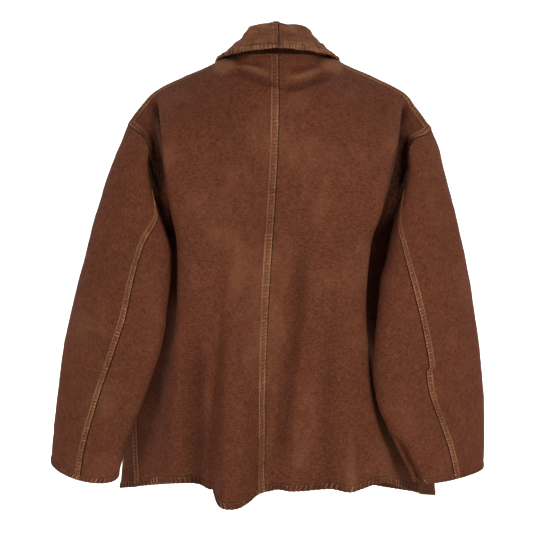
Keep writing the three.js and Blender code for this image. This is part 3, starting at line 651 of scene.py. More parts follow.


# Painted shade in the deep fold beside each lower armhole, which also never rubs: how far down it
# begins, its width in from the seam, how much narrower it gets lower down, and how dark it is.
TUCK_SHADES = {"left": dict(begins=112, wide=14, narrows=0, painted_shade=0.35),
         "right": dict(begins=126, wide=48, narrows=22, painted_shade=0.65)}
FACET_PAINTED_SHADE = 0.16        # painted shade of the facet between that fold and the armhole seam, above the tuck
SHOULDER_PAINTED_SHADE = 0.1      # painted shade along the tops of the shoulders, where less light falls


def back_grid(side):
    """The back of one side with its hanging folds. The net has one line beyond the centre seam,
    so that the surface crosses it level, and the grid leaves that line out."""
    moved = [BACK_COLUMNS.index(column) for column in ("turn", "valley")]
    net = []
    for row in BACK_ROWS:
        shift = row["right_in"] if side == "right" else 0
        half = np.array([row[column] for column in BACK_COLUMNS], float)
        half[moved, 0] -= shift
        net.append(np.concatenate([half[1:2] * (-1, 1, 1), half]))
    columns = (1, *BACK_NECK_STEPS, NECK_TO_TURN, TURN_TO_VALLEY, VALLEY_TO_EDGE)
    grid = smooth_surface(on_side(np.array(net), side), BODY_STEPS, columns)[:, 1:]
    middle = 1 - smoothstep(np.abs(grid[..., 0]), 40, 190)
    grid[..., 0] += BACK_LEAN * middle * smoothstep(-grid[..., 2], 80, 600)
    # every height is found before any point moves
    heights = [hang_height(grid, fold) for fold in HANGING_FOLDS]
    for fold, height in zip(HANGING_FOLDS, heights):
        grid[..., 1] += fold["rise"] * height
        grid[..., 2] -= fold["drop"] * height
    return grid


def back_piece(side, seam_normals):
    """One half of the back with its folds and lumps, and painted shade in its recesses and along its shoulders."""
    grid = back_grid(side)
    normals = normals_of(grid, sense_of(side))
    normals[:, 0] = seam_normals
    facing = np.clip(normals[..., 1] * 1.6, 0, 1)
    relief = folds_height(grid, BACK_FOLDS) * facing + uneven(grid, 11) * smoothstep(facing, 0, 0.6)
    # the hollows of the hanging folds get painted shade by their depth, through the relief given to Cloth
    hollows = sum(min(fold["rise"], 0) * hang_height(grid, fold) for fold in HANGING_FOLDS)
    grid = grid + normals * relief[..., None]
    back = Cloth(f"back_{side}", grid, normals_of(grid, sense_of(side)), relief + 0.5 * hollows)
    from_seam = travelled(grid[:, ::-1], 1)[:, ::-1]
    depth = -grid[..., 2]
    # Painted shade where shadow falls: the deep fold beside the lower armhole, the facet above it and the tops of the
    # shoulders are darkened in colour
    tuck = TUCK_SHADES[side]
    begins, wide = tuck["begins"], tuck["wide"] - tuck["narrows"] * smoothstep(depth, 190, 260)
    tuck_shade = between(depth, (begins, begins + 26), (290, 370))
    tuck_shade = tuck_shade * (1 - smoothstep(from_seam, wide, wide + 14))
    facet = between(depth, (50, 70), (110, 150)) * (1 - smoothstep(from_seam, 26, 38))
    shoulder = 1 - smoothstep(depth, 50, 130)
    painted_shade = tuck["painted_shade"] * tuck_shade + FACET_PAINTED_SHADE * facet + SHOULDER_PAINTED_SHADE * shoulder
    back.shade = np.clip(back.shade + painted_shade, 0, 0.85)
    return back


def front_piece(side, back):
    """One front, sewn to the back at the shoulder and the side."""
    tuck = LAP_TUCK if side == "right" else 0
    net = []
    for row in FRONT_ROWS:
        half = np.array([row[column] for column in FRONT_COLUMNS], float)
        half[-1, 1] += tuck
        net.append(np.concatenate([half, half[-1:] + (-LAP, tuck / 2, 0)]))
    columns = (VALLEY_TO_EDGE, TURN_TO_VALLEY, NECK_TO_TURN, *FRONT_NECK_STEPS, LAP_STEPS)
    grid = smooth_surface(on_side(np.array(net), side), BODY_STEPS, columns)
    normals = normals_of(grid, sense_of(side))
    from_side = travelled(grid, 1)
    from_top = travelled(grid[::-1], 0)[::-1]
    free = smoothstep(from_side, 4, 45) * smoothstep(from_top, 4, 45)
    over_lap = 1 - 0.8 * smoothstep(-np.abs(grid[..., 0]), -46, -24)
    relief = (folds_height(grid, FRONT_FOLDS) + 0.8 * uneven(grid, 31)) * free * over_lap
    grid = grid + normals * relief[..., None]
    # the shoulder and side seams take the back's own points, and the cloth beside them follows
    top = back.grid[-1, ::-1][:SHOULDER + 1] - grid[-1, :SHOULDER + 1]
    near_top = 1 - smoothstep(from_top[:, :SHOULDER + 1], 0, 40)
    grid[:, :SHOULDER + 1] += near_top[..., None] * top
    seam = back.grid[:UNDERARM + 1, -1] - grid[:UNDERARM + 1, 0]
    near_seam = 1 - smoothstep(from_side[:UNDERARM + 1], 0, 45)
    grid[:UNDERARM + 1] += near_seam[..., None] * seam[:, None]
    return Cloth(f"front_{side}", grid, normals_of(grid, sense_of(side)), 0.5 * relief)


def armhole_ring(back, front):
    """The armhole from the shoulder down the back edge and up the front edge, and its turns."""
    down = back.grid[UNDERARM:, -1][::-1]
    ring = np.concatenate([down, front.grid[UNDERARM + 1:, 0]])
    far = travelled(ring[:, None], 0)[:, 0]
    half, whole = far[len(down) - 1], far[-1]
    turns = np.where(far <= half, 180 * far / half, 180 + 180 * (far - half) / (whole - half))
    return ring, turns


def sleeve_sections(side, turns):
    """Rings of points round a sleeve, one for each row of its table."""
    rows = SLEEVE_ROWS[side]
    outer = np.array([row["outer"] for row in rows], float)
    inner = np.array([row["inner"] for row in rows], float)
    middle = (outer + inner) / 2
    wide = (outer - inner) / 2
    last = len(rows) - 1
    sections = []
    for k, row in enumerate(rows):
        run = middle[min(k + 1, last)] - middle[max(k - 1, 0)]
        deep = unit(np.cross(wide[k], run)) * row["deep"]
        deep *= np.sign(deep[1])
        angle = np.radians(turns + row["twist"])[:, None]
        section = middle[k] + wide[k] * np.cos(angle) + deep * np.sin(angle)
        section[:, 2] -= row["dip"] * np.sin(angle[:, 0])
        section[:, 0] *= sense_of(side)
        sections.append(section)
    return sections


def sleeve_pieces(side, back, front):
    """The upper and under sleeve, cut from one tube."""
    ring, turns = armhole_ring(back, front)
    grid = smooth_line(np.array([ring, *sleeve_sections(side, turns)]), SLEEVE_STEPS)
    normals = normals_of(grid, sense_of(side), closed=True)
    from_ring = travelled(grid, 0)
    facing = np.clip(normals[..., 1] * 2, 0, 1)
    relief = folds_height(grid, SLEEVE_FOLDS[side]) * facing
    relief += uneven(grid, 51) * (0.9 + 0.3 * rolling(grid, 150, 60))
    # slanting drags beside the back seam
    back_seam = sum(BODY_STEPS[-BACK_SEAM_SPANS:])
    round_it = travelled(grid, 1)
    aside = round_it[:, back_seam:back_seam + 1] - round_it
    drags = np.sin(2 * np.pi * (from_ring + 0.4 * aside) / 10 + 2.2 * rolling(grid, 70, 62))
    beside = np.exp(-np.abs(aside - 11) / 9) * np.where(aside > 0, 1, 0.5)
    relief += 0.5 * drags * beside * np.clip(0.4 + rolling(grid, 80, 63), 0, 1.2)
    if side == "right":
        # its back seam jogs at the elbow
        jog = between(-grid[..., 2], (536, 545), (550, 630))
        grid[..., 0] += ELBOW_JOG * jog * np.exp(-(aside / 26) ** 2) * facing
    relief *= smoothstep(from_ring, 0, 30)
    grid = grid + normals * relief[..., None]
    normals = normals_of(grid, sense_of(side), closed=True)
    start = HEM_TO_UNDERARM
    front_seam = sum(BODY_STEPS[start:]) + sum(BODY_STEPS[start:start + FRONT_SEAM_SPANS])
    columns = {
        "upper": [*range(front_seam, grid.shape[1] - 1), *range(back_seam + 1)],
        "under": [*range(back_seam, front_seam + 1)],
    }
    return {part: Cloth(f"sleeve_{part}_{side}", grid[:, chosen], normals[:, chosen],
                        0.6 * relief[:, chosen]) for part, chosen in columns.items()}


def collar_piece(side, back, front):
    """Half of the shawl collar, from the neck seam over its fold to its edge."""
    flip = (sense_of(side), 1, 1)
    back_neck = back.grid[-1, :sum(BACK_NECK_STEPS) + 1]
    front_neck = front.grid[-1, SHOULDER:SHOULDER + sum(FRONT_NECK_STEPS) + 1]
    neck_steps = (*BACK_NECK_STEPS, *FRONT_NECK_STEPS)
    neck = np.concatenate([back_neck, front_neck[1:]])
    neck[-1] = np.array(COLLAR_END) * flip
    stations = np.concatenate([[0], np.cumsum(neck_steps)])
    places = np.concatenate([np.linspace(a, b, count, endpoint=False) for a, b, count
                             in zip(stations[:-1], stations[1:], COLLAR_STEPS)] + [stations[-1:]])
    seam_line = np.stack([np.interp(places, np.arange(len(neck)), neck[:, k]) for k in range(3)], 1)
    net = []
    for row, seam in zip(COLLAR_ROWS, neck[stations]):
        fold = np.array(row["fold"], float) * flip
        edge = np.array(row["edge"], float) * flip
        out = unit(np.array(row["out"], float) * flip)
        up = fold - seam
        up = unit(up - out * (up @ out))
        roll = row["roll"]
        fold_in, fold_top, fold_out = fold - out * roll, fold + up * roll, fold + out * roll
        fall = fold_out + 0.45 * (edge - fold_out) + out * roll * 0.5
        net.append([seam, (seam + fold_in) / 2, fold_in, fold_top, fold_out, fall, edge])
    grid = smooth_surface(np.array(net), COLLAR_STEPS, COLLAR_ACROSS)
    grid[:, 0] = seam_line
    sense = -sense_of(side)
    normals = normals_of(grid, sense)
    across = travelled(grid, 1)
    to_edge = across[:, -1:] - across
    along = np.broadcast_to(travelled(grid, 0)[:, -1:], across.shape)
    fan = np.sin(2 * np.pi * along / 15 + 1.4 * rolling(grid, 60, 5))
    pucker = np.sin(2 * np.pi * along / 7.5 + 1.2 * rolling(grid, 40, 6))
    at_edge = smoothstep(-to_edge, -34, -6)
    # long fans and short puckers run up from the stitched edge, over broad and small lumps
    relief = 0.6 * fan * at_edge + 0.35 * pucker * smoothstep(-to_edge, -17, -7)
    relief += 0.8 * rolling(grid, 38, 71) * smoothstep(across, 6, 20)
    relief += 0.8 * rolling(grid * (0.7, 1, 1.5), 15, 73) * smoothstep(across, 30, 50)
    relief *= smoothstep(across, 0, 8)
    # the seam makes a small bump where it crosses the top
    bump = 1 - smoothstep(np.abs(grid[..., 0] - 1), 8, 20)
    bump = COLLAR_BUMP * bump * smoothstep(grid[..., 2], 34, 50)
    grid = grid + normals * relief[..., None]
    grid[..., 2] += bump
    collar = Cloth(f"collar_{side}", grid, normals_of(grid, sense), -3 * relief)
    # the fall is rubbed, dark blots lie above its edge, and the stand under the fall gets painted shade
    collar.wear = collar.wear + 0.13 * smoothstep(across, 42, 58)
    blots = np.clip(rolling(grid * (0.6, 1, 1.6), 20, 75), 0, 1.2) * smoothstep(-to_edge, -36, -14)
    stand_shade = 1 - smoothstep(across, 22, 42)
    collar.shade = np.clip(collar.shade + 0.3 * blots + 0.45 * stand_shade, 0, 1)
    return collar


def share_seam_normals(pieces):
    """Sewn edges share one normal, so that the walls of two joined pieces meet. Points within
    about 0.05 mm count as one."""
    meetings = {}
    for piece in pieces:
        rows, columns = piece.grid.shape[:2]
        rim = [(i, j) for i in range(rows) for j in range(columns)
               if i in (0, rows - 1) or j in (0, columns - 1)]
        for i, j in rim:
            key = tuple(np.round(piece.grid[i, j] * 20).astype(int))
            meetings.setdefault(key, []).append((piece, i, j))
    for places in meetings.values():
        shared = unit(sum(piece.normals[i, j] for piece, i, j in places))
        for piece, i, j in places:
            piece.normals[i, j] = shared


PIECES = {}


def cut_pieces():
    """Works out every piece of cloth once."""
    if PIECES:
        return PIECES
    halves = [normals_of(back_grid(side), sense_of(side))[:, 0] for side in SIDES]
    middle = unit(halves[0] + halves[1])
    for side in SIDES:
        back = back_piece(side, middle)
        front = front_piece(side, back)
        sleeve = sleeve_pieces(side, back, front)
        collar = collar_piece(side, back, front)
        for piece in (back, front, sleeve["upper"], sleeve["under"], collar):
            PIECES[piece.name] = piece
    share_seam_normals([piece for name, piece in PIECES.items() if "collar" not in name])
    share_seam_normals([piece for name, piece in PIECES.items() if "collar" in name])
    settings = bpy.context.scene.jacket_cloth
    for name, piece in PIECES.items():
        piece.wall = (settings.collar_wall if "collar" in name else settings.wall) / MM
        if "collar" in name:
            piece.turn_over()
    return PIECES


# ---- meshes ----
CLOTH_SHARP = 55          # degrees between faces past which cloth has a sharp edge
BUTTON_SHARP = 35         # and of a button
INNER_SHADE = 0.25        # of the faces inside the jacket


def place_object(name, data):
    """A new object of the scene."""
    placed = bpy.data.objects.new(name, data)
    bpy.context.scene.collection.objects.link(placed)
    return placed


def shade_smooth(mesh):
    """Lets light run smoothly over every face of a mesh."""
    mesh.polygons.foreach_set("use_smooth", [True] * len(mesh.polygons))


def applied_mesh(piece):
    """The mesh of an object with its modifiers applied."""
    bpy.context.view_layer.update()
    evaluated = piece.evaluated_get(bpy.context.evaluated_depsgraph_get())
    return bpy.data.meshes.new_from_object(evaluated)


def settle(piece, slot, *nodes):
    """The piece rides on the jacket, and stands for these solids of the frame."""
    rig.ride(piece, "root")
    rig.slot(piece, slot)
    if nodes:
        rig.replaces(piece, *nodes)
    return piece


def signed_volume(points, faces):
    """Six times the volume in a closed mesh, below 0 where its faces turn inwards."""
    a, b, c = (points[faces[:, k]] for k in (0, 1, 2))
    volume = np.einsum("ij,ij->i", a, np.cross(b, c)).sum()
    if faces.shape[1] == 4:
        d = points[faces[:, 3]]
        volume += np.einsum("ij,ij->i", a, np.cross(c, d)).sum()
    return volume


def add_mesh(name, points, faces, material, wear=None, shade=None, uv=None, caps=()):
    """A mesh object from millimetre points and quads, which are turned to face out."""
    faces = np.asarray(faces)
    if signed_volume(points, faces) < 0:
        faces = faces[:, ::-1]
        caps = [cap[::-1] for cap in caps]
    mesh = bpy.data.meshes.new(name)
    mesh.from_pydata((points * MM).tolist(), [], faces.tolist() + [list(cap) for cap in caps])
    shade_smooth(mesh)
    for label, values in (("wear", wear), ("shade", shade)):
        attribute = mesh.attributes.new(label, "FLOAT", "POINT")
        attribute.data.foreach_set("value", np.zeros(len(points)) if values is None else values)
    if uv is not None:
        corners = np.zeros(len(mesh.loops), int)
        mesh.loops.foreach_get("vertex_index", corners)
        layer = mesh.uv_layers.new(name="cloth")
        layer.data.foreach_set("uv", (uv[corners] * MM).ravel())
    mesh.set_sharp_from_angle(angle=math.radians(CLOTH_SHARP))
    mesh.materials.append(material)
    return place_object(name, mesh)


def grid_faces(rows, columns, start=0):
    """Quads of a grid of points."""
    index = start + np.arange(rows * columns).reshape(rows, columns)
    corners = [index[:-1, :-1], index[1:, :-1], index[1:, 1:], index[:-1, 1:]]
    return np.stack(corners, -1).reshape(-1, 4)


def rim_faces(rows, columns):
    """Quads round the rim between two grids, one after the other."""
    index = np.arange(rows * columns).reshape(rows, columns)
    loop = np.concatenate([index[0, :-1], index[:-1, -1], index[-1, :0:-1], index[:0:-1, 0]])
    after = np.roll(loop, -1)
    under = rows * columns
    return np.stack([loop, after, after + under, loop + under], -1)


def add_panel_mesh(piece, material):
    """The closed wall of a piece: its grid is the outer face."""
    rows, columns = piece.grid.shape[:2]
    inner = piece.grid - piece.normals * piece.wall
    points = np.concatenate([piece.grid.reshape(-1, 3), inner.reshape(-1, 3)])
    under = grid_faces(rows, columns, rows * columns)[:, ::-1]
    faces = np.concatenate([grid_faces(rows, columns), under, rim_faces(rows, columns)])
    uv = np.stack([travelled(piece.grid, 1), travelled(piece.grid, 0)], -1).reshape(-1, 2)
    wear = np.concatenate([piece.wear.ravel(), np.zeros(rows * columns)])
    shade = np.concatenate([piece.shade.ravel(), np.full(rows * columns, INNER_SHADE)])
    return add_mesh(piece.name + "_cloth", points, faces, material, wear, shade,
                    np.concatenate([uv, uv]))


def add_panels(*parts):
    """The cloth of these parts on both sides, each in place of its solid."""
    for side in SIDES:
        for part in parts:
            name = f"{part}_{side}"
            settle(add_panel_mesh(cut_pieces()[name], washed_duck()), "duck_canvas", name)


def add_band_mesh(name, loops, material, wear, shade, uv):
    """A closed band: one loop of points for each step along it, with its two ends capped."""
    steps, around = loops.shape[:2]
    index = np.arange(steps * around).reshape(steps, around)
    after = np.roll(index, -1, axis=1)
    faces = np.stack([index[:-1], index[1:], after[1:], after[:-1]], -1).reshape(-1, 4)
    caps = [index[0], index[-1][::-1]]
    points = loops.reshape(-1, 3)
    middle = len(faces) // 2
    if signed_volume(points - points[faces[middle, 0]], faces) < 0:
        faces = faces[:, ::-1]
        caps = [cap[::-1] for cap in caps]
    return add_mesh(name, points, faces, material, wear.ravel(), shade.ravel(),
                    uv.reshape(-1, 2), caps)


# ---- bands that follow an edge ----
EDGE_STRIP = 16           # grid lines read inwards from an edge
SEAM_LIFT = 0.12          # of a seam's lowest layer over its panel
UNDER_SEAM = 0.5          # its underside lies this far inside the panel
FELL_PUCKER = 0.26        # height of the puckers, as a share of the seam's rise
OUT_OF_SIGHT = 0.55       # painted shade past which no stitches are laid, down in the dark fold of the armhole


def edge_strip(piece, edge, start=0, stop=None, fine=3):
    """The cloth beside an edge, with fine steps along it: rows along, columns inwards."""
    data = piece.turned(edge)[:EDGE_STRIP]
    data = np.swapaxes(data, 0, 1)[start:stop]
    return smooth_line(data, [fine] * (len(data) - 1))


def at_distances(strip, distances):
    """Points, normals, wear and shade at distances in from the edge. A distance below 0 lies
    beyond the edge, straight on."""
    inward = travelled(strip[..., :3], 1)
    result = np.empty((len(strip), len(distances), strip.shape[-1]))
    for k, (row, far) in enumerate(zip(strip, inward)):
        for channel in range(row.shape[1]):
            result[k, :, channel] = np.interp(distances, far, row[:, channel])
        ahead = unit(row[1, :3] - row[0, :3])
        beyond = np.minimum(distances, 0)
        result[k, :, :3] += beyond[:, None] * ahead
    result[..., 3:6] = unit(result[..., 3:6])
    return result


def wavering(far, pitch, seed, drift=0.9):
    """Waves about a pitch long whose phase wanders along the way."""
    rng = np.random.default_rng(seed)
    phase = sum(rng.uniform(0.4, 1)
                * np.sin(far / (pitch * rng.uniform(2.2, 7)) + rng.uniform(0, 6.3))
                for _ in range(5))
    return 2 * np.pi * far / pitch + drift * phase


def slow_change(far, pitch, seed):
    """A wandering value from 0 to 1 along a seam."""
    rng = np.random.default_rng(seed)
    total = sum(np.sin(far / (pitch * rng.uniform(0.3, 1.2)) + rng.uniform(0, 6.3))
                for _ in range(6))
    return np.clip(0.5 + total / 4.5, 0, 1)


GUIDES = {"seams": [], "hems": [], "collar": [], "front": []}    # lines for stitches, by group
BANDS = {}                # each seam and edge as made, with the name of the piece it is sewn on


def add_guide(group, strip, distance, lift):
    """A line for stitches to follow, a distance in from the edge."""
    line = at_distances(strip, np.array([distance]))[:, 0]
    GUIDES[group].append((line[:, :3] + line[:, 3:6] * lift, line[:, 3:6]))


# Cross-section of a fell: place across, height, share of the puckers and share of the rubbing
FELL_SHAPE = (
    (-1, 0, 0, 0), (-0.2, 0.05, 0, 0), (0.1, 0.75, 0.5, 0), (0.7, 1.1, 0.9, 1),
    (1.5, 1.05, 1, 1), (2.2, 0.62, 0.8, 0.3), (3.2, 0.95, 1, 0.25), (4.6, 1, 0.8, 0.2),
    (5.9, 0.95, 0.45, 0.1), (6.9, 0.85, 0.35, 0.1), (7.5, 0.5, 0.4, 0.3), (8.3, 0.9, 0.5, 1),
    (9.1, 0.7, 0.3, 1), (9.5, 0, 0, 0),
)


def add_felled_seam(name, piece, edge, seed, start=0, stop=None, lip=1.3, pitch=6.4, worn=0.6,
                    rungs=0.8, group="seams", narrow=1.0, rows=(0.2, 0.8)):
    """A flat-felled seam: folded layers along an edge, proud of the panel, puckered between the
    two rows of stitches. Rubbing picks out the ridge beside the low seam line, which is darkened
    with painted shadow, and painted shade lies between the puckers. It reaches `lip` past the
    edge, and `worn` is how much it is rubbed, `rungs` its puckers."""
    settings = bpy.context.scene.jacket_seams
    width, rise = settings.fell_width / MM * narrow, settings.fell_rise / MM
    strip = edge_strip(piece, edge, start, stop)
    across, profile, puckers, ridges = np.array(FELL_SHAPE).T
    across = np.where(across > 0, across * width / FELL_SHAPE[-1][0], across * lip)
    top = at_distances(strip, across)
    far = travelled(strip[:, :1, :3], 0)[:, 0]
    # the puckers lean a little, and pull harder in some places than in others
    wave = np.sin(wavering(far, pitch, seed)[:, None] + 0.12 * across)
    uneven_pull = 0.35 + 0.65 * slow_change(far, 11, seed + 5)[:, None]
    height = SEAM_LIFT + rise * (profile + FELL_PUCKER * uneven_pull * puckers * wave)
    upper = top[..., :3] + top[..., 3:6] * height[..., None]
    lower = top[..., :3] - top[..., 3:6] * UNDER_SEAM
    chosen = [len(across) - 1, len(across) // 2, 0]
    loops = np.concatenate([upper, lower[:, chosen]], axis=1)
    rubbed = 0.25 + 0.75 * slow_change(far, 34, seed + 3)[:, None]
    # each rung is rubbed over its own part of the width, and nothing is rubbed in a hollow
    flat = np.stack(np.broadcast_arrays(far[:, None], across * 1.4, 0), -1)
    blots = np.clip(0.55 + rolling(flat, 9, seed + 7), 0, 1.4)
    rung = np.clip(wave, 0, 1) ** 1.4 * uneven_pull * blots
    on_fell = (across > 0.3) & (across < 0.97 * width)
    open_to_rub = worn * np.clip(1 - 1.9 * top[..., 7], 0, 1)
    wear = top[..., 6] + on_fell * open_to_rub * (
        0.05 + 0.65 * ridges * rubbed + rungs * puckers * rung)
    # painted shadow along the seam line and the far fold of the fell, and painted shade between the puckers, partly
    # dye the wash left in them
    ditch_shadow = ((across <= 0.1) * 1.0 + (across > 0.1) * (across < 0.6) * 0.7
             + (across > 0.97 * width) * 0.4)
    hollow_shade = puckers * np.clip(0.25 - wave, 0, 1) * uneven_pull
    shade = top[..., 7] + ditch_shadow + worn * (0.5 * hollow_shade + 0.06 * (ridges < 0.4) * (across > 0.6))
    under = np.zeros((len(strip), len(chosen)))
    uv = np.stack(np.broadcast_arrays(across, far[:, None]), -1)
    uv = np.concatenate([uv, uv[:, chosen]], axis=1)
    made = add_band_mesh(name, loops, washed_duck(),
                         np.clip(np.concatenate([wear, under], 1), 0, 1),
                         np.clip(np.concatenate([shade, under], 1), 0, 1), uv)
    BANDS[name] = settle(made, "duck_canvas"), piece.name
    shown = strip[strip[:, 0, 7] < OUT_OF_SIGHT]
    for place in rows:
        add_guide(group, shown, place * width, SEAM_LIFT + 0.72 * rise)


# Cross-section of a turned edge, from the cloth down: share of its width up from the edge,
# height, and share of the puckers
EDGE_SHAPE = (
    (1.06, 0, 0), (1, 0.55, 0.15), (0.93, 0.35, 0.3), (0.84, 0.75, 0.7), (0.72, 1, 1),
    (0.58, 1.1, 1.1), (0.44, 1.15, 1.1), (0.3, 1.1, 1), (0.16, 1, 0.95), (0.04, 0.85, 0.9),
)


def add_turned_edge(name, piece, edge, seed, width, pitch, rope, group="hems", slant=0.5,
                    rows=(0.9,), worn=0.8, dark=0.25, groove_shade=0.4, fine=3):
    """A turned and stitched edge that wraps both faces. Washing ropes it: slanting puckers run
    from the stitches down to the edge, rubbed pale on their ridges, with painted shade between
    them, partly dye the wash left there. `dark` darkens all of it, and `groove_shade` paints
    shadow along the line of its stitches."""
    strip = edge_strip(piece, edge, fine=fine)
    share, body, swing = np.array(EDGE_SHAPE).T
    outer = at_distances(strip, share * width)
    inner = at_distances(strip, share[::-1] * width)
    tip = at_distances(strip, np.array([0.0]))
    far = travelled(strip[:, :1, :3], 0)
    # two waves of unlike pitch make the twists of the rope uneven
    lean = 2 * np.pi * slant * (1 - share) * width / pitch
    phase = wavering(far, pitch, seed, 1.3) + lean
    pull = 0.15 + 0.85 * slow_change(far, 12, seed + 6)
    second = wavering(far, pitch * 0.61, seed + 9, 2) + lean
    wave = pull * (0.7 * np.sin(phase) + 0.45 * np.sin(second))
    height = 0.1 + 0.85 * body + rope * swing * wave
    upper = outer[..., :3] + outer[..., 3:6] * height[..., None]
    thick = piece.wall + 0.1 + 0.8 * body[::-1] + 0.35 * rope * swing[::-1] * wave[:, ::-1]
    lower = inner[..., :3] - inner[..., 3:6] * thick[..., None]
    # the fold itself, three points round, lies just beyond the edge
    ahead = unit(strip[:, 0, :3] - strip[:, 1, :3])[:, None]
    reach = 0.9 + 0.7 * rope * np.sin(phase[:, -1:] + 0.6)
    bottom = np.concatenate([
        tip[..., :3] + ahead * reach[..., None] * 0.8 + tip[..., 3:6] * 0.35,
        tip[..., :3] + ahead * reach[..., None] - tip[..., 3:6] * (piece.wall / 2),
        tip[..., :3] + ahead * reach[..., None] * 0.8 - tip[..., 3:6] * (piece.wall + 0.35),
    ], axis=1)
    loops = np.concatenate([upper, bottom, lower], axis=1)
    rubbed = (0.3 + 0.7 * slow_change(far, 40, seed + 3)) * (
        0.25 + 0.75 * slow_change(far, 9, seed + 4))
    # rubbed on the ridges and beside the stitches, with painted shade in the hollows and painted shadow along the line
    # of the stitches
    ridge = np.clip(1.3 * wave, 0, 1) ** 2
    stitched = np.exp(-((share - 0.82) * width / 0.9) ** 2) * np.clip(0.3 + pull * wave, 0.1, 1)
    wear_out = outer[..., 6] + worn * rubbed * (0.04 + swing * ridge + 0.8 * stitched)
    hollow_shade = np.clip(-wave, 0, 1) * swing
    shade_out = outer[..., 7] + dark + 0.6 * hollow_shade + (share > 0.9) * (share < 1.03) * groove_shade
    edge_wear = np.broadcast_to(wear_out[:, -1:] + 0.1, (len(strip), 3))
    edge_shade = np.broadcast_to(shade_out[:, -1:] * 0.8, (len(strip), 3))
    plain = np.full_like(wear_out, 0.1)
    wear = np.concatenate([wear_out, edge_wear, plain], axis=1)
    shade = np.concatenate([shade_out, edge_shade, plain * 2], axis=1)
    ring = np.arange(loops.shape[1]) * 0.12 * width
    uv = np.stack(np.broadcast_arrays(ring, far), -1)
    made = add_band_mesh(name, loops, washed_duck(), np.clip(wear, 0, 1), np.clip(shade, 0, 1),
                         uv)
    BANDS[name] = settle(made, "duck_canvas"), piece.name
    for place in rows:
        add_guide(group, strip, place * width, 0.55)


# ---- materials ----
def add_node(tree, kind, inputs=None, **settings):
    """Adds a node with its settings, and fills or links its inputs."""
    node = tree.nodes.new(kind)
    for name, value in settings.items():
        setattr(node, name, value)
    for key, value in (inputs or {}).items():
        if isinstance(value, bpy.types.NodeSocket):
            tree.links.new(value, node.inputs[key])
        else:
            node.inputs[key].default_value = value
    return node


def new_material(name):
    material = bpy.data.materials.new(name)
    material.use_nodes = True
    material.node_tree.nodes.clear()
    return material, material.node_tree


def finish_material(tree, inputs):
    """Ends a material in a Principled shader with these inputs."""
    shader = add_node(tree, "ShaderNodeBsdfPrincipled", inputs)
    add_node(tree, "ShaderNodeOutputMaterial", {"Surface": shader.outputs["BSDF"]})


def object_place(tree):
    """Place of a point in its object's own space, in metres."""
    return add_node(tree, "ShaderNodeTexCoord").outputs["Object"]


def noise(tree, vector, scale, detail=3.0, rough=0.5, twist=0.0):
    """Noise from about 0.25 to 0.75, with `scale` lumps to the metre."""
    inputs = {"Vector": vector, "Scale": scale, "Detail": detail, "Roughness": rough,
              "Distortion": twist}
    return add_node(tree, "ShaderNodeTexNoise", inputs).outputs["Fac"]


def bumped(tree, height, strength, distance):
    """Normals of a relief, `distance` metres high."""
    return add_node(tree, "ShaderNodeBump", {"Height": height, "Strength": strength,
                                             "Distance": distance}).outputs[0]


def grey_of(tree, tone):
    """Grey colour of one tone."""
    return add_node(tree, "ShaderNodeCombineColor", {0: tone, 1: tone, 2: tone}).outputs[0]


def times(colour, factor):
    """A settings colour, lighter or darker."""
    return (*(min(1.0, channel * factor) for channel in colour[:3]), 1.0)


def maths(tree, operation, first, second=0.5):
    return add_node(tree, "ShaderNodeMath", {0: first, 1: second}, operation=operation).outputs[0]


def blended(tree, share, first, second, kind="MIX"):
    """Colour output of a mix of two colours."""
    return add_node(tree, "ShaderNodeMix", {0: share, 6: first, 7: second}, data_type="RGBA",
                    blend_type=kind).outputs[2]


def ranged(tree, value, low, high, to_low=0.0, to_high=1.0):
    return add_node(tree, "ShaderNodeMapRange", {"Value": value, "From Min": low, "From Max": high,
                                                 "To Min": to_low, "To Max": to_high}).outputs[0]


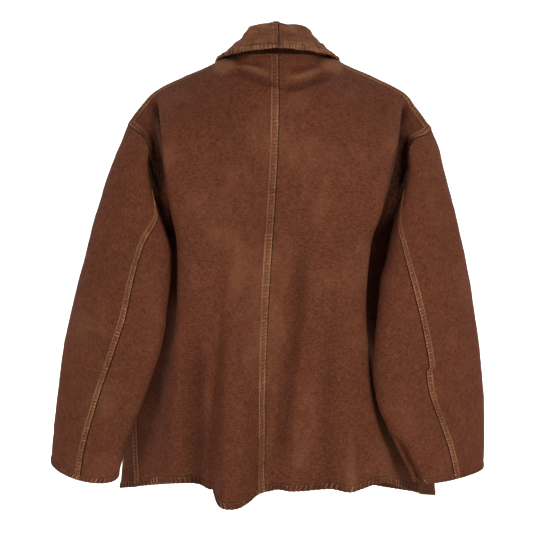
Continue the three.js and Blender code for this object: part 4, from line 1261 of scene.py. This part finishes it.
def washed_duck():
    """Cotton duck, garment-washed: a dry, matt, tightly woven cloth, clouded red and olive brown,
    pale where its ridges rub, and darkened with painted shade in creases and recesses, partly
    dye that the wash left there."""
    found = bpy.data.materials.get("washed_cotton_duck")
    if found:
        return found
    settings = bpy.context.scene.jacket_cloth
    material, tree = new_material("washed_cotton_duck")
    place = object_place(tree)
    thread = add_node(tree, "ShaderNodeUVMap", uv_map="cloth").outputs[0]
    wear = add_node(tree, "ShaderNodeAttribute", attribute_name="wear").outputs["Fac"]
    shade = add_node(tree, "ShaderNodeAttribute", attribute_name="shade").outputs["Fac"]

    def stretched(across, along):
        """Noise drawn out along one set of threads, from the size of its marks in millimetres."""
        scale = (1 / (across * MM), 1 / (along * MM), 1)
        mapping = add_node(tree, "ShaderNodeMapping", {"Vector": thread, "Scale": scale})
        return noise(tree, mapping.outputs[0], 1.0, 2.0)

    clouds = ranged(tree, noise(tree, place, 9.0, 4.0, 0.6), 0.3, 0.7)
    colour = blended(tree, clouds, tuple(settings.red_brown), tuple(settings.olive_brown))
    # mottling of the dye, 12 mm and 4 mm across, then slubs along the weft and the warp
    tones = ((noise(tree, place, 80.0, 3.0, 0.6), 0.10),
             (noise(tree, place, 260.0, 2.0, 0.7), 0.26),
             (stretched(9.0, 1.9), 0.34), (stretched(2.2, 8.0), 0.20))
    for field, strength in tones:
        tone = ranged(tree, field, 0.25, 0.75, 1 - strength, 1 + strength)
        colour = blended(tree, 1.0, colour, grey_of(tree, tone), "MULTIPLY")
    # a scatter of paler slubs
    slub = ranged(tree, stretched(5.0, 1.8), 0.60, 0.74, 0.0, 0.25)
    colour = blended(tree, slub, colour, tuple(settings.faded))
    # rubbing takes the tops of the threads first, so its edge is grainy
    grain = ranged(tree, noise(tree, place, 420.0, 2.0, 0.7), 0.3, 0.7, 0.55, 1.3)
    # crinkles of the wash: thin winding lines about 25 mm apart, rubbed a little paler
    wandering = noise(tree, place, 30.0, 4.0, 0.6)
    winding = maths(tree, "ABSOLUTE", maths(tree, "SUBTRACT", wandering, 0.5))
    crinkle = ranged(tree, winding, 0.0, 0.045, 1.0, 0.0)
    worn = maths(tree, "ADD", wear, maths(tree, "MULTIPLY", crinkle, 0.03))
    rubbed = maths(tree, "MULTIPLY", worn, grain)
    colour = blended(tree, rubbed, colour, tuple(settings.faded))
    # painted shade: the shade attribute, a little uneven, darkens the cloth towards the dark colour in creases,
    # recesses and seam lines, partly dye the wash left there
    painted_shade = maths(tree, "MULTIPLY", shade,
                 ranged(tree, noise(tree, place, 150.0), 0.3, 0.7, 0.75, 1.15))
    colour = blended(tree, painted_shade, colour, tuple(settings.unfaded_and_shade))

    # plain weave, drawn at twice its real spacing of about 0.65 mm so that it shows
    scale = 1 / settings.thread_pitch
    turned = add_node(tree, "ShaderNodeMapping", {"Vector": thread, "Scale": (scale, scale, 1)})
    parts = add_node(tree, "ShaderNodeSeparateXYZ", {0: turned.outputs[0]})
    warp, weft = (maths(tree, "SINE", maths(tree, "MULTIPLY", parts.outputs[k], math.pi))
                  for k in (0, 1))
    weave = maths(tree, "MULTIPLY", warp, weft)
    slubs = maths(tree, "ADD", stretched(7.0, 1.5), stretched(1.6, 7.0))
    crumple = noise(tree, place, 46.0, 4.0, 0.62)
    crumple = maths(tree, "ADD", crumple, maths(tree, "MULTIPLY", crinkle, 0.12))
    height = maths(tree, "ADD", maths(tree, "MULTIPLY", weave, 0.16),
                   maths(tree, "ADD", maths(tree, "MULTIPLY", slubs, 0.45),
                         maths(tree, "MULTIPLY", crumple, 1.3)))
    finish_material(tree, {"Base Color": colour, "Roughness": 0.93, "Specular IOR Level": 0.1,
                           "Normal": bumped(tree, height, 0.75, 0.0007)})
    return material


def cotton_thread():
    """Spun cotton thread: matt, a shade paler than the cloth, twisted."""
    settings = bpy.context.scene.jacket_seams
    material, tree = new_material("cotton_thread")
    place = object_place(tree)
    tone = ranged(tree, noise(tree, place, 90.0, 2.0), 0.3, 0.7)
    colour = blended(tree, tone, times(settings.thread, 0.6), times(settings.thread, 1.5))
    twist = add_node(tree, "ShaderNodeTexWave",
                     {"Vector": place, "Scale": 700.0, "Distortion": 1.5},
                     bands_direction="DIAGONAL").outputs["Fac"]
    finish_material(tree, {"Base Color": colour, "Roughness": 0.8, "Specular IOR Level": 0.25,
                           "Normal": bumped(tree, twist, 0.5, 0.0001)})
    return material


def corozo():
    """Corozo nut, turned and dull-polished: dark brown with fine concentric grain."""
    settings = bpy.context.scene.jacket_buttons
    material, tree = new_material("polished_corozo")
    place = object_place(tree)
    grain = noise(tree, place, 130.0, 5.0, twist=1.2)
    streaks = ranged(tree, grain, 0.3, 0.7)
    colour = blended(tree, streaks, times(settings.body, 0.6), times(settings.body, 2.0))
    gloss = ranged(tree, grain, 0.3, 0.7, 0.34, 0.5)
    finish_material(tree, {"Base Color": colour, "Roughness": gloss, "IOR": 1.54})
    return material


def backdrop_paper():
    """Seamless studio paper: matt, very pale."""
    settings = bpy.context.scene.jacket_stage
    material, tree = new_material("seamless_paper")
    place = object_place(tree)
    tone = ranged(tree, noise(tree, place, 3.0, 2.0), 0.3, 0.7, 0.985, 1.0)
    colour = blended(tree, 1.0, tuple(settings.paper), grey_of(tree, tone), "MULTIPLY")
    finish_material(tree, {"Base Color": colour, "Roughness": 0.95, "Specular IOR Level": 0.1})
    return material


# ---- stitches by Geometry Nodes ----
STITCH_WOBBLE = (0.05, 0.04, 0.16)       # most that a stitch turns about its axes, in radians
STITCH_FLATTENED = (0.5, 0.5, 0.42)      # half sizes of a stitch, pressed a little flat


def stitch_tree():
    """Geometry Nodes tree that lays one stitch after another along the edges of a guide mesh."""
    tree = bpy.data.node_groups.new("stitches_along_guides", "GeometryNodeTree")
    face = tree.interface
    face.new_socket("Guides", in_out="INPUT", socket_type="NodeSocketGeometry")
    for name in ("Pitch", "Length", "Width"):
        face.new_socket(name, in_out="INPUT", socket_type="NodeSocketFloat")
    face.new_socket("Seed", in_out="INPUT", socket_type="NodeSocketInt")
    face.new_socket("Thread", in_out="INPUT", socket_type="NodeSocketMaterial")
    face.new_socket("Stitches", in_out="OUTPUT", socket_type="NodeSocketGeometry")
    given = add_node(tree, "NodeGroupInput").outputs
    curve = add_node(tree, "GeometryNodeMeshToCurve", {"Mesh": given["Guides"]})
    spaced = add_node(tree, "GeometryNodeResampleCurve", {"Curve": curve.outputs[0],
                                                          "Length": given["Pitch"]}, mode="LENGTH")
    tangent = add_node(tree, "GeometryNodeInputTangent").outputs[0]
    outward = add_node(tree, "GeometryNodeInputNamedAttribute", {"Name": "outward"},
                       data_type="FLOAT_VECTOR").outputs[0]
    along = add_node(tree, "FunctionNodeAlignRotationToVector", {"Vector": tangent}, axis="X")
    upright = add_node(tree, "FunctionNodeAlignRotationToVector",
                       {"Rotation": along.outputs[0], "Vector": outward}, axis="Z", pivot_axis="X")
    wobble = add_node(tree, "FunctionNodeRandomValue",
                      {"Min": tuple(-angle for angle in STITCH_WOBBLE), "Max": STITCH_WOBBLE,
                       "Seed": given["Seed"]}, data_type="FLOAT_VECTOR")
    tilt = add_node(tree, "FunctionNodeEulerToRotation", {0: wobble.outputs[0]})
    turn = add_node(tree, "FunctionNodeRotateRotation",
                    {"Rotation": upright.outputs[0], "Rotate By": tilt.outputs[0]},
                    rotation_space="LOCAL")
    size = add_node(tree, "ShaderNodeCombineXYZ", {0: given["Length"], 1: given["Width"],
                                                   2: given["Width"]})
    half = add_node(tree, "ShaderNodeVectorMath", {0: size.outputs[0], 1: STITCH_FLATTENED},
                    operation="MULTIPLY")
    bead = add_node(tree, "GeometryNodeMeshUVSphere", {"Segments": 6, "Rings": 3, "Radius": 1.0})
    lying = add_node(tree, "GeometryNodeTransform", {"Geometry": bead.outputs[0],
                                                     "Rotation": (0.0, math.pi / 2, 0.0)})
    stitch = add_node(tree, "GeometryNodeTransform", {"Geometry": lying.outputs[0],
                                                      "Scale": half.outputs[0]})
    placed = add_node(tree, "GeometryNodeInstanceOnPoints",
                      {"Points": spaced.outputs[0], "Instance": stitch.outputs[0],
                       "Rotation": turn.outputs[0]})
    real = add_node(tree, "GeometryNodeRealizeInstances", {"Geometry": placed.outputs[0]})
    smooth = add_node(tree, "GeometryNodeSetShadeSmooth", {"Geometry": real.outputs[0]})
    coloured = add_node(tree, "GeometryNodeSetMaterial", {"Geometry": smooth.outputs[0],
                                                          "Material": given["Thread"]})
    add_node(tree, "NodeGroupOutput", {"Stitches": coloured.outputs[0]})
    return tree


def guide_object(name, lines):
    """A mesh of edges only, with the cloth's outward direction at each point."""
    mesh = bpy.data.meshes.new(name)
    points = np.concatenate([line for line, _ in lines])
    outward = np.concatenate([normal for _, normal in lines])
    edges = []
    start = 0
    for line, _ in lines:
        edges += [(k, k + 1) for k in range(start, start + len(line) - 1)]
        start += len(line)
    mesh.from_pydata((points * MM).tolist(), edges, [])
    attribute = mesh.attributes.new("outward", "FLOAT_VECTOR", "POINT")
    attribute.data.foreach_set("vector", outward.ravel())
    return place_object(name, mesh)


def sew(name, lines, tree, thread):
    """Turns guide lines into one mesh of stitches."""
    settings = bpy.context.scene.jacket_seams
    guide = guide_object(name + "_guide", lines)
    modifier = guide.modifiers.new("stitches", "NODES")
    modifier.node_group = tree
    values = {"Pitch": settings.stitch_pitch, "Length": settings.stitch_length,
              "Width": settings.thread_width, "Seed": settings.seed, "Thread": thread}
    for item in tree.interface.items_tree:
        if item.in_out == "INPUT" and item.name in values:
            modifier[item.identifier] = values[item.name]
    mesh = applied_mesh(guide)
    guide.modifiers.remove(modifier)
    bpy.data.objects.remove(guide)
    return place_object(name, mesh)


# ---- stage, in metres ----
CAMERA_PLACE = (0.021, 1.710, -0.364)
CAMERA_LENS = 64.1        # millimetres, for a sensor this wide
CAMERA_SENSOR = 36
# The paper: floor from near to the wall beyond the jacket's front, with a quarter round between
PAPER = dict(near=7.0, wall=-3.0, radius=1.2, half_width=9.0, top=7.0, steps=24)
# Places and aims are from the middle of the jacket.
LAMPS = named_rows(
    ("name", "place", "aim", "size", "power"),
    ("key_softbox", (-1.5, 2.2, 0.8), (0, 0, 0), 1.0, "key_power"),
    ("fill_softbox", (1.8, 2.3, 0.7), (0, 0, 0), 1.6, "fill_power"),
    ("front_softbox", (0.9, -2.4, 1.0), (0, 0, 0), 1.4, "fill_power"),
    ("backdrop_light_left", (1.7, -1.3, 1.9), (0.8, -3.6, -0.8), 1.6, "backdrop_power"),
    ("backdrop_light_right", (-1.7, -1.3, 1.9), (-0.8, -3.6, -0.8), 1.6, "backdrop_power"),
)


def add_paper(floor):
    """Floor and backdrop in one sheet of paper."""
    near, wall, radius, half_width, top, steps = PAPER.values()
    bend = [(wall - radius * math.sin(a), floor + radius * (1 - math.cos(a)))
            for a in np.linspace(0, math.pi / 2, steps)]
    profile = [(near, floor), *bend, (wall - radius, top)]
    points = [(x, y, z) for y, z in profile for x in (half_width, -half_width)]
    faces = [(k, k + 1, k + 3, k + 2) for k in range(0, len(points) - 2, 2)]
    mesh = bpy.data.meshes.new("backdrop")
    mesh.from_pydata(points, [], faces)
    shade_smooth(mesh)
    mesh.materials.append(backdrop_paper())
    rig.stage(place_object("backdrop", mesh))


def add_lamp(lamp, centre, power):
    """A round soft light that faces its aim."""
    light = bpy.data.lights.new(lamp["name"], "AREA")
    light.shape = "DISK"
    light.size = lamp["size"]
    light.energy = power
    placed = place_object(lamp["name"], light)
    place, aim = Vector(lamp["place"]), Vector(lamp["aim"])
    placed.location = centre + place
    placed.rotation_euler = (aim - place).to_track_quat("-Z", "Y").to_euler()


def add_world(strength):
    """Even white light all round."""
    world = bpy.data.worlds.new("studio")
    world.use_nodes = True
    background = world.node_tree.nodes["Background"].inputs
    background["Color"].default_value = (1, 1, 1, 1)
    background["Strength"].default_value = strength
    bpy.context.scene.world = world


def add_camera():
    """The view of the whole back, level and straight on."""
    view = bpy.data.cameras.new("camera")
    view.lens = CAMERA_LENS
    view.sensor_width = CAMERA_SENSOR
    view.clip_end = 50
    camera = place_object("camera", view)
    camera.location = CAMERA_PLACE
    camera.rotation_euler = (math.radians(90), 0, math.radians(180))
    bpy.context.scene.camera = camera


# ---- operators ----
class JACKET_OT_stage(bpy.types.Operator):
    """Floor with its backdrop, lights and camera"""

    bl_idname = "jacket.stage"
    bl_label = "Stage"

    def execute(self, context):
        settings = context.scene.jacket_stage
        low, high = Vector(CAD_BOX[0]), Vector(CAD_BOX[1])
        add_paper(low.z - settings.floor_drop)
        for lamp in LAMPS:
            add_lamp(lamp, (low + high) / 2, getattr(settings, lamp["power"]))
        add_world(settings.sky)
        context.scene.view_settings.view_transform = "Standard"
        add_camera()
        return {"FINISHED"}


class JACKET_OT_body(bpy.types.Operator):
    """The two back pieces and the two fronts"""

    bl_idname = "jacket.body"
    bl_label = "Back and Fronts"

    def execute(self, context):
        add_panels("back", "front")
        return {"FINISHED"}


class JACKET_OT_sleeves(bpy.types.Operator):
    """The upper and under sleeves"""

    bl_idname = "jacket.sleeves"
    bl_label = "Sleeves"

    def execute(self, context):
        add_panels("sleeve_upper", "sleeve_under")
        return {"FINISHED"}


class JACKET_OT_collar(bpy.types.Operator):
    """The two halves of the shawl collar"""

    bl_idname = "jacket.collar"
    bl_label = "Collar"

    def execute(self, context):
        add_panels("collar")
        return {"FINISHED"}


# The felled seams: name, the piece and edge that each follows, seed and options. On the right
# the seeds are one more.
MIDDLE_FELLS = (
    ("centre_back_fell", "back_left", "first_column", 3,
     dict(pitch=6.2, worn=0.7, rungs=0.6, lip=1.1, narrow=1.2)),
    ("collar_centre_fell", "collar_left", "first_row", 5,
     dict(lip=0.8, worn=1.1, rungs=0.2, group="collar", narrow=0.9)),
)
SIDE_FELLS = (
    ("side_fell", "back", "last_column", 10, dict(stop=UNDERARM + 1, lip=1.2, worn=0.6)),
    ("armhole_fell", "back", "last_column", 20,
     dict(start=UNDERARM, lip=0.8, pitch=6.6, worn=1.3)),
    ("front_armhole_fell", "front", "first_column", 60,
     dict(start=UNDERARM, lip=0.3, pitch=6.6, worn=0.8)),
    ("shoulder_fell", "back", "last_row", 30,
     dict(start=sum(BACK_NECK_STEPS), lip=0.6, pitch=6.8, worn=1.1)),
    ("neck_fell", "back", "last_row", 70,
     dict(stop=sum(BACK_NECK_STEPS) + 1, lip=0.1, worn=0.5, narrow=0.3, rows=())),
    ("sleeve_back_fell", "sleeve_upper", "last_column", 40, dict(pitch=5.8, worn=0.85, lip=1.6)),
    ("sleeve_front_fell", "sleeve_upper", "first_column", 50, dict(pitch=5.8, worn=0.85, lip=1.6)),
)
SHOULDER_NARROW = {"left": 1.15, "right": 1.4}


class JACKET_OT_felled_seams(bpy.types.Operator):
    """The flat-felled seams, which stand proud of the panels"""

    bl_idname = "jacket.felled_seams"
    bl_label = "Felled Seams"

    def execute(self, context):
        pieces = cut_pieces()
        for name, piece, edge, seed, options in MIDDLE_FELLS:
            add_felled_seam(name, pieces[piece], edge, seed, **options)
        for k, side in enumerate(SIDES):
            for name, piece, edge, seed, options in SIDE_FELLS:
                if name == "shoulder_fell":
                    options = dict(options, narrow=SHOULDER_NARROW[side])
                add_felled_seam(f"{name}_{side}", pieces[f"{piece}_{side}"], edge, seed + k,
                                **options)
        return {"FINISHED"}


class JACKET_OT_turned_edges(bpy.types.Operator):
    """The roped hem, cuffs and collar edge, and the plain front edges"""

    bl_idname = "jacket.turned_edges"
    bl_label = "Turned Edges"

    def execute(self, context):
        settings = context.scene.jacket_seams
        pieces = cut_pieces()
        hem, twist = settings.hem_width / MM, settings.hem_rope / MM
        for k, side in enumerate(SIDES):
            for part in ("back", "front"):
                add_turned_edge(f"hem_{part}_{side}", pieces[f"{part}_{side}"], "first_row",
                                100 + k, width=hem, pitch=twist, rope=0.7, worn=1.2)
            for part in ("upper", "under"):
                add_turned_edge(f"cuff_{part}_{side}", pieces[f"sleeve_{part}_{side}"], "last_row",
                                110 + k, width=hem * 0.85, pitch=twist * 0.92, rope=0.7,
                                worn=1.3)
            add_turned_edge(f"collar_edge_{side}", pieces[f"collar_{side}"], "last_column",
                            120 + k, width=hem * 0.66, pitch=settings.collar_rope / MM,
                            rope=0.6, group="collar", slant=0.15, rows=(0.9, 1.6), worn=1.9,
                            dark=0.0, groove_shade=1.0)
            add_turned_edge(f"front_edge_{side}", pieces[f"front_{side}"], "last_column", 130 + k,
                            width=7.0, pitch=11.0, rope=0.14, group="front", fine=1)
        return {"FINISHED"}


class JACKET_OT_stitches(bpy.types.Operator):
    """Stitches along every seam and hem"""

    bl_idname = "jacket.stitches"
    bl_label = "Stitches"

    def execute(self, context):
        tree, thread = stitch_tree(), cotton_thread()
        for group, lines in GUIDES.items():
            settle(sew(f"stitches_{group}", lines, tree, thread), "duck_canvas")
        return {"FINISHED"}


# ---- buttons, in metres ----
BUTTON_FACE = 0.58        # the dished face lies at this share of the button's thickness
BUTTON_SIDES = 40         # facets round its rim
SEWN_THREAD = 0.00042     # radius of the thread that holds a button or edges a buttonhole
BAR_THREAD = 0.00045      # and of the bars at a buttonhole's end
PURL_PITCH = 0.0011       # spacing of the stitches round a buttonhole
HOLE_HALF_WIDTH = 0.0014
HOLE_START = -0.002       # a buttonhole begins this far from the button's middle
HOLE_MIDDLE = 0.012       # its middle, where the height of the cloth is read
# Stitches round the buttonhole and across its end: reach in half widths, and height
PURL = ((0.15, 0.0003), (0.5, -0.0006), (1.0, -0.0005), (1.5, 0.0002))
END_BAR = ((-1.7, 0.0003), (-0.8, -0.0007), (0.8, -0.0007), (1.7, 0.0003))
# A bundle of thread between two holes: share of the way, and height over the face
THREAD_ARCH = ((0, 0.0022), (0.06, -0.0004), (0.25, -0.0009), (0.5, -0.0011), (0.75, -0.0009),
               (0.94, -0.0004), (1, 0.0022))


def turned_profile(low, high):
    """Cross-section of a button, as radius and height in metres, from the middle of its back."""
    radius = (high.x - low.x) / 2
    thick = high.y - low.y
    dish, lip = 0.66 * radius, 0.12 * radius
    corners = ((0, 0), (radius - 0.8 * lip, 0), (radius, 0.25 * thick), (radius, 0.72 * thick))
    rim = [(radius - lip + lip * math.cos(a), 0.78 * thick + 0.22 * thick * math.sin(a))
           for a in np.linspace(0.2, math.pi - 0.5, 6)]
    well = [(dish + 0.4 * lip, 0.8 * thick), (dish, 0.62 * thick),
            (0.6 * dish, BUTTON_FACE * thick), (0, BUTTON_FACE * thick)]
    return [*corners, *rim, *well]


def button_mesh(name, low, high, settings):
    """A turned button with a dished face and four drilled holes."""
    profile = turned_profile(low, high)
    centre = Vector(((low.x + high.x) / 2, high.y, (low.z + high.z) / 2))
    points, faces = [], []
    for k in range(BUTTON_SIDES):
        a = 2 * math.pi * k / BUTTON_SIDES
        points += [(r * math.cos(a), -h, r * math.sin(a)) for r, h in profile[1:-1]]
    count = len(profile) - 2
    for k in range(BUTTON_SIDES):
        here, there = k * count, ((k + 1) % BUTTON_SIDES) * count
        faces += [(here + j, here + j + 1, there + j + 1, there + j) for j in range(count - 1)]
    faces.append([k * count for k in range(BUTTON_SIDES)])
    faces.append([k * count + count - 1 for k in reversed(range(BUTTON_SIDES))])
    mesh = bpy.data.meshes.new(name)
    mesh.from_pydata([tuple(centre + Vector(p)) for p in points], [], faces)
    mesh.update()
    disc = place_object(name, mesh)
    spread, hole = settings.hole_spread / 2, settings.hole / 2
    bpy.ops.object.select_all(action="DESELECT")
    for sx, sz in ((1, 1), (1, -1), (-1, 1), (-1, -1)):
        at = centre + Vector((sx * spread, -0.002, sz * spread))
        bpy.ops.mesh.primitive_cylinder_add(vertices=14, radius=hole, depth=0.02, location=at,
                                            rotation=(math.pi / 2, 0, 0))
        drill = bpy.context.object
        cut = disc.modifiers.new("hole", "BOOLEAN")
        cut.operation, cut.solver, cut.object = "DIFFERENCE", "EXACT", drill
        drilled = applied_mesh(disc)
        disc.modifiers.remove(cut)
        disc.data = drilled
        bpy.data.objects.remove(drill)
    disc.data.name = name
    shade_smooth(disc.data)
    disc.data.set_sharp_from_angle(angle=math.radians(BUTTON_SHARP))
    return disc


def bar_between(points, radius, sides=8):
    """Closed tube through points, as vertices and faces."""
    points = [Vector(p) for p in points]
    vertices, faces = [], []
    for k, point in enumerate(points):
        run = (points[min(k + 1, len(points) - 1)] - points[max(k - 1, 0)]).normalized()
        side = run.cross(Vector((0, 1, 0.01))).normalized()
        up = side.cross(run).normalized()
        for j in range(sides):
            a = 2 * math.pi * j / sides
            vertices.append(point + radius * (math.cos(a) * side + math.sin(a) * up))
    for k in range(len(points) - 1):
        for j in range(sides):
            here, there = k * sides, (k + 1) * sides
            after = (j + 1) % sides
            faces.append((here + j, here + after, there + after, there + j))
    faces.append(tuple(reversed(range(sides))))
    faces.append(tuple(range((len(points) - 1) * sides, len(points) * sides)))
    return vertices, faces


def mesh_of_parts(name, parts, material):
    """One mesh object from several sets of vertices and faces, facing out."""
    vertices, faces = [], []
    for part_vertices, part_faces in parts:
        start = len(vertices)
        vertices += [tuple(v) for v in part_vertices]
        faces += [tuple(start + k for k in face) for face in part_faces]
    mesh = bpy.data.meshes.new(name)
    mesh.from_pydata(vertices, [], faces)
    mesh.materials.append(material)
    shade_smooth(mesh)
    work = bmesh.new()
    work.from_mesh(mesh)
    bmesh.ops.recalc_face_normals(work, faces=work.faces)
    work.to_mesh(mesh)
    work.free()
    return place_object(name, mesh)


def thread_parts(centre, face, settings):
    """Two crossing bundles of thread between opposite holes."""
    spread = settings.hole_spread / 2
    parts = []
    for sx, sz in ((1, 1), (-1, 1)):
        for shift in (-0.3, 0.3):
            offset = Vector((-sz * shift, 0, sx * shift)) * MM
            ends = [Vector((s * sx * spread, 0, s * sz * spread)) for s in (-1, 1)]
            line = [centre + offset + ends[0].lerp(ends[1], t) + Vector((0, face + rise, 0))
                    for t, rise in THREAD_ARCH]
            parts.append(bar_between(line, SEWN_THREAD))
    return parts


def buttonhole_parts(centre, cloth_y, settings):
    """Worked buttonhole beside a button: purl stitches round a slit, and bars at its end."""
    start, end = HOLE_START, settings.buttonhole + HOLE_START
    parts = []
    count = int(settings.buttonhole / PURL_PITCH)
    for k in range(count):
        x = start + (end - start) * (k + 0.5) / count
        for side in (-1, 1):
            line = [centre + Vector((x, cloth_y + rise, side * reach * HOLE_HALF_WIDTH))
                    for reach, rise in PURL]
            parts.append(bar_between(line, SEWN_THREAD, sides=6))
    for k in range(3):
        line = [centre + Vector((end + 0.0008 * k, cloth_y + rise, reach * HOLE_HALF_WIDTH))
                for reach, rise in END_BAR]
        parts.append(bar_between(line, BAR_THREAD, sides=6))
    return parts


class JACKET_OT_buttons(bpy.types.Operator):
    """Buttons with their thread, and worked buttonholes"""

    bl_idname = "jacket.buttons"
    bl_label = "Buttons"

    def execute(self, context):
        settings = context.scene.jacket_buttons
        thread = bpy.data.materials["cotton_thread"]
        nut = corozo()
        front = cut_pieces()["front_left"].grid.reshape(-1, 3) * MM
        for node in sorted(name for name in frame["nodes"] if name.startswith("button")):
            low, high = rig.box(node)
            disc = button_mesh(node + "_disc", low, high, settings)
            disc.data.materials.clear()
            disc.data.materials.append(nut)
            settle(disc, "button_horn", node)
            centre = Vector(((low.x + high.x) / 2, 0, (low.z + high.z) / 2))
            face = high.y - BUTTON_FACE * (high.y - low.y)
            sewn = mesh_of_parts(node + "_thread", thread_parts(centre, face, settings), thread)
            settle(sewn, "duck_canvas")
            place = (HOLE_MIDDLE, centre.z)
            near = front[np.argmin(np.linalg.norm(front[:, [0, 2]] - place, axis=1))]
            worked = buttonhole_parts(centre, float(near[1]), settings)
            settle(mesh_of_parts(node + "_buttonhole", worked, thread), "duck_canvas")
        return {"FINISHED"}


# ---- declarations and add-on ----
# Flat cut of each piece in metres: its width and length, and the area of its shape
FLAT_CUTS = {
    "back": ((0.40, 0.80), 0.236),
    "front": ((0.42, 0.80), 0.248),
    "sleeve_upper": ((0.36, 0.62), 0.17),
    "sleeve_under": ((0.22, 0.52), 0.068),
    "collar": ((0.12, 0.50), 0.047),
}


class JACKET_OT_declare_cloth(bpy.types.Operator):
    """States the flat cut of every piece of cloth"""

    bl_idname = "jacket.declare_cloth"
    bl_label = "Declare Cloth"

    def execute(self, context):
        for name in cut_pieces():
            (width, length), area = FLAT_CUTS[name.rsplit("_", 1)[0]]
            along = [band for band, (_, home) in BANDS.items() if home == name]
            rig.sheet(bpy.data.objects[name + "_cloth"], flat=(width, length), held="hung",
                     area=area, with_pieces=along)
        return {"FINISHED"}


OPERATORS = (
    JACKET_OT_stage,
    JACKET_OT_body,
    JACKET_OT_sleeves,
    JACKET_OT_collar,
    JACKET_OT_felled_seams,
    JACKET_OT_turned_edges,
    JACKET_OT_stitches,
    JACKET_OT_buttons,
    JACKET_OT_declare_cloth,
)
SETTINGS = {
    "jacket_cloth": JacketClothSettings,
    "jacket_seams": JacketSeamSettings,
    "jacket_buttons": JacketButtonSettings,
    "jacket_stage": JacketStageSettings,
}


class JACKET_PT_tools(bpy.types.Panel):
    """Sidebar panel with the settings and the steps of the jacket"""

    bl_idname = "JACKET_PT_tools"
    bl_label = "Hunting Jacket"
    bl_space_type = "VIEW_3D"
    bl_region_type = "UI"
    bl_category = "Jacket"

    def draw(self, context):
        for attribute in SETTINGS:
            box = self.layout.box()
            group = getattr(context.scene, attribute)
            for name in group.bl_rna.properties.keys():
                if name not in ("rna_type", "name"):
                    box.prop(group, name)
        for operator in OPERATORS:
            self.layout.operator(operator.bl_idname)


def register():
    for attribute, group in SETTINGS.items():
        bpy.utils.register_class(group)
        setattr(bpy.types.Scene, attribute, PointerProperty(type=group))
    for operator in OPERATORS:
        bpy.utils.register_class(operator)
    bpy.utils.register_class(JACKET_PT_tools)


def unregister():
    bpy.utils.unregister_class(JACKET_PT_tools)
    for operator in reversed(OPERATORS):
        bpy.utils.unregister_class(operator)
    for attribute, group in SETTINGS.items():
        delattr(bpy.types.Scene, attribute)
        bpy.utils.unregister_class(group)


def main():
    register()
    bpy.ops.jacket.stage()
    bpy.ops.jacket.body()
    bpy.ops.jacket.sleeves()
    bpy.ops.jacket.collar()
    bpy.ops.jacket.felled_seams()
    bpy.ops.jacket.turned_edges()
    bpy.ops.jacket.stitches()
    bpy.ops.jacket.buttons()
    bpy.ops.jacket.declare_cloth()
    with open("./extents.json", "w") as sizes:
        json.dump({"cad": [list(corner) for corner in CAD_BOX],
                   "visual": [list(corner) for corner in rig.bounds()]}, sizes)


if __name__ == "__main__":
    main()
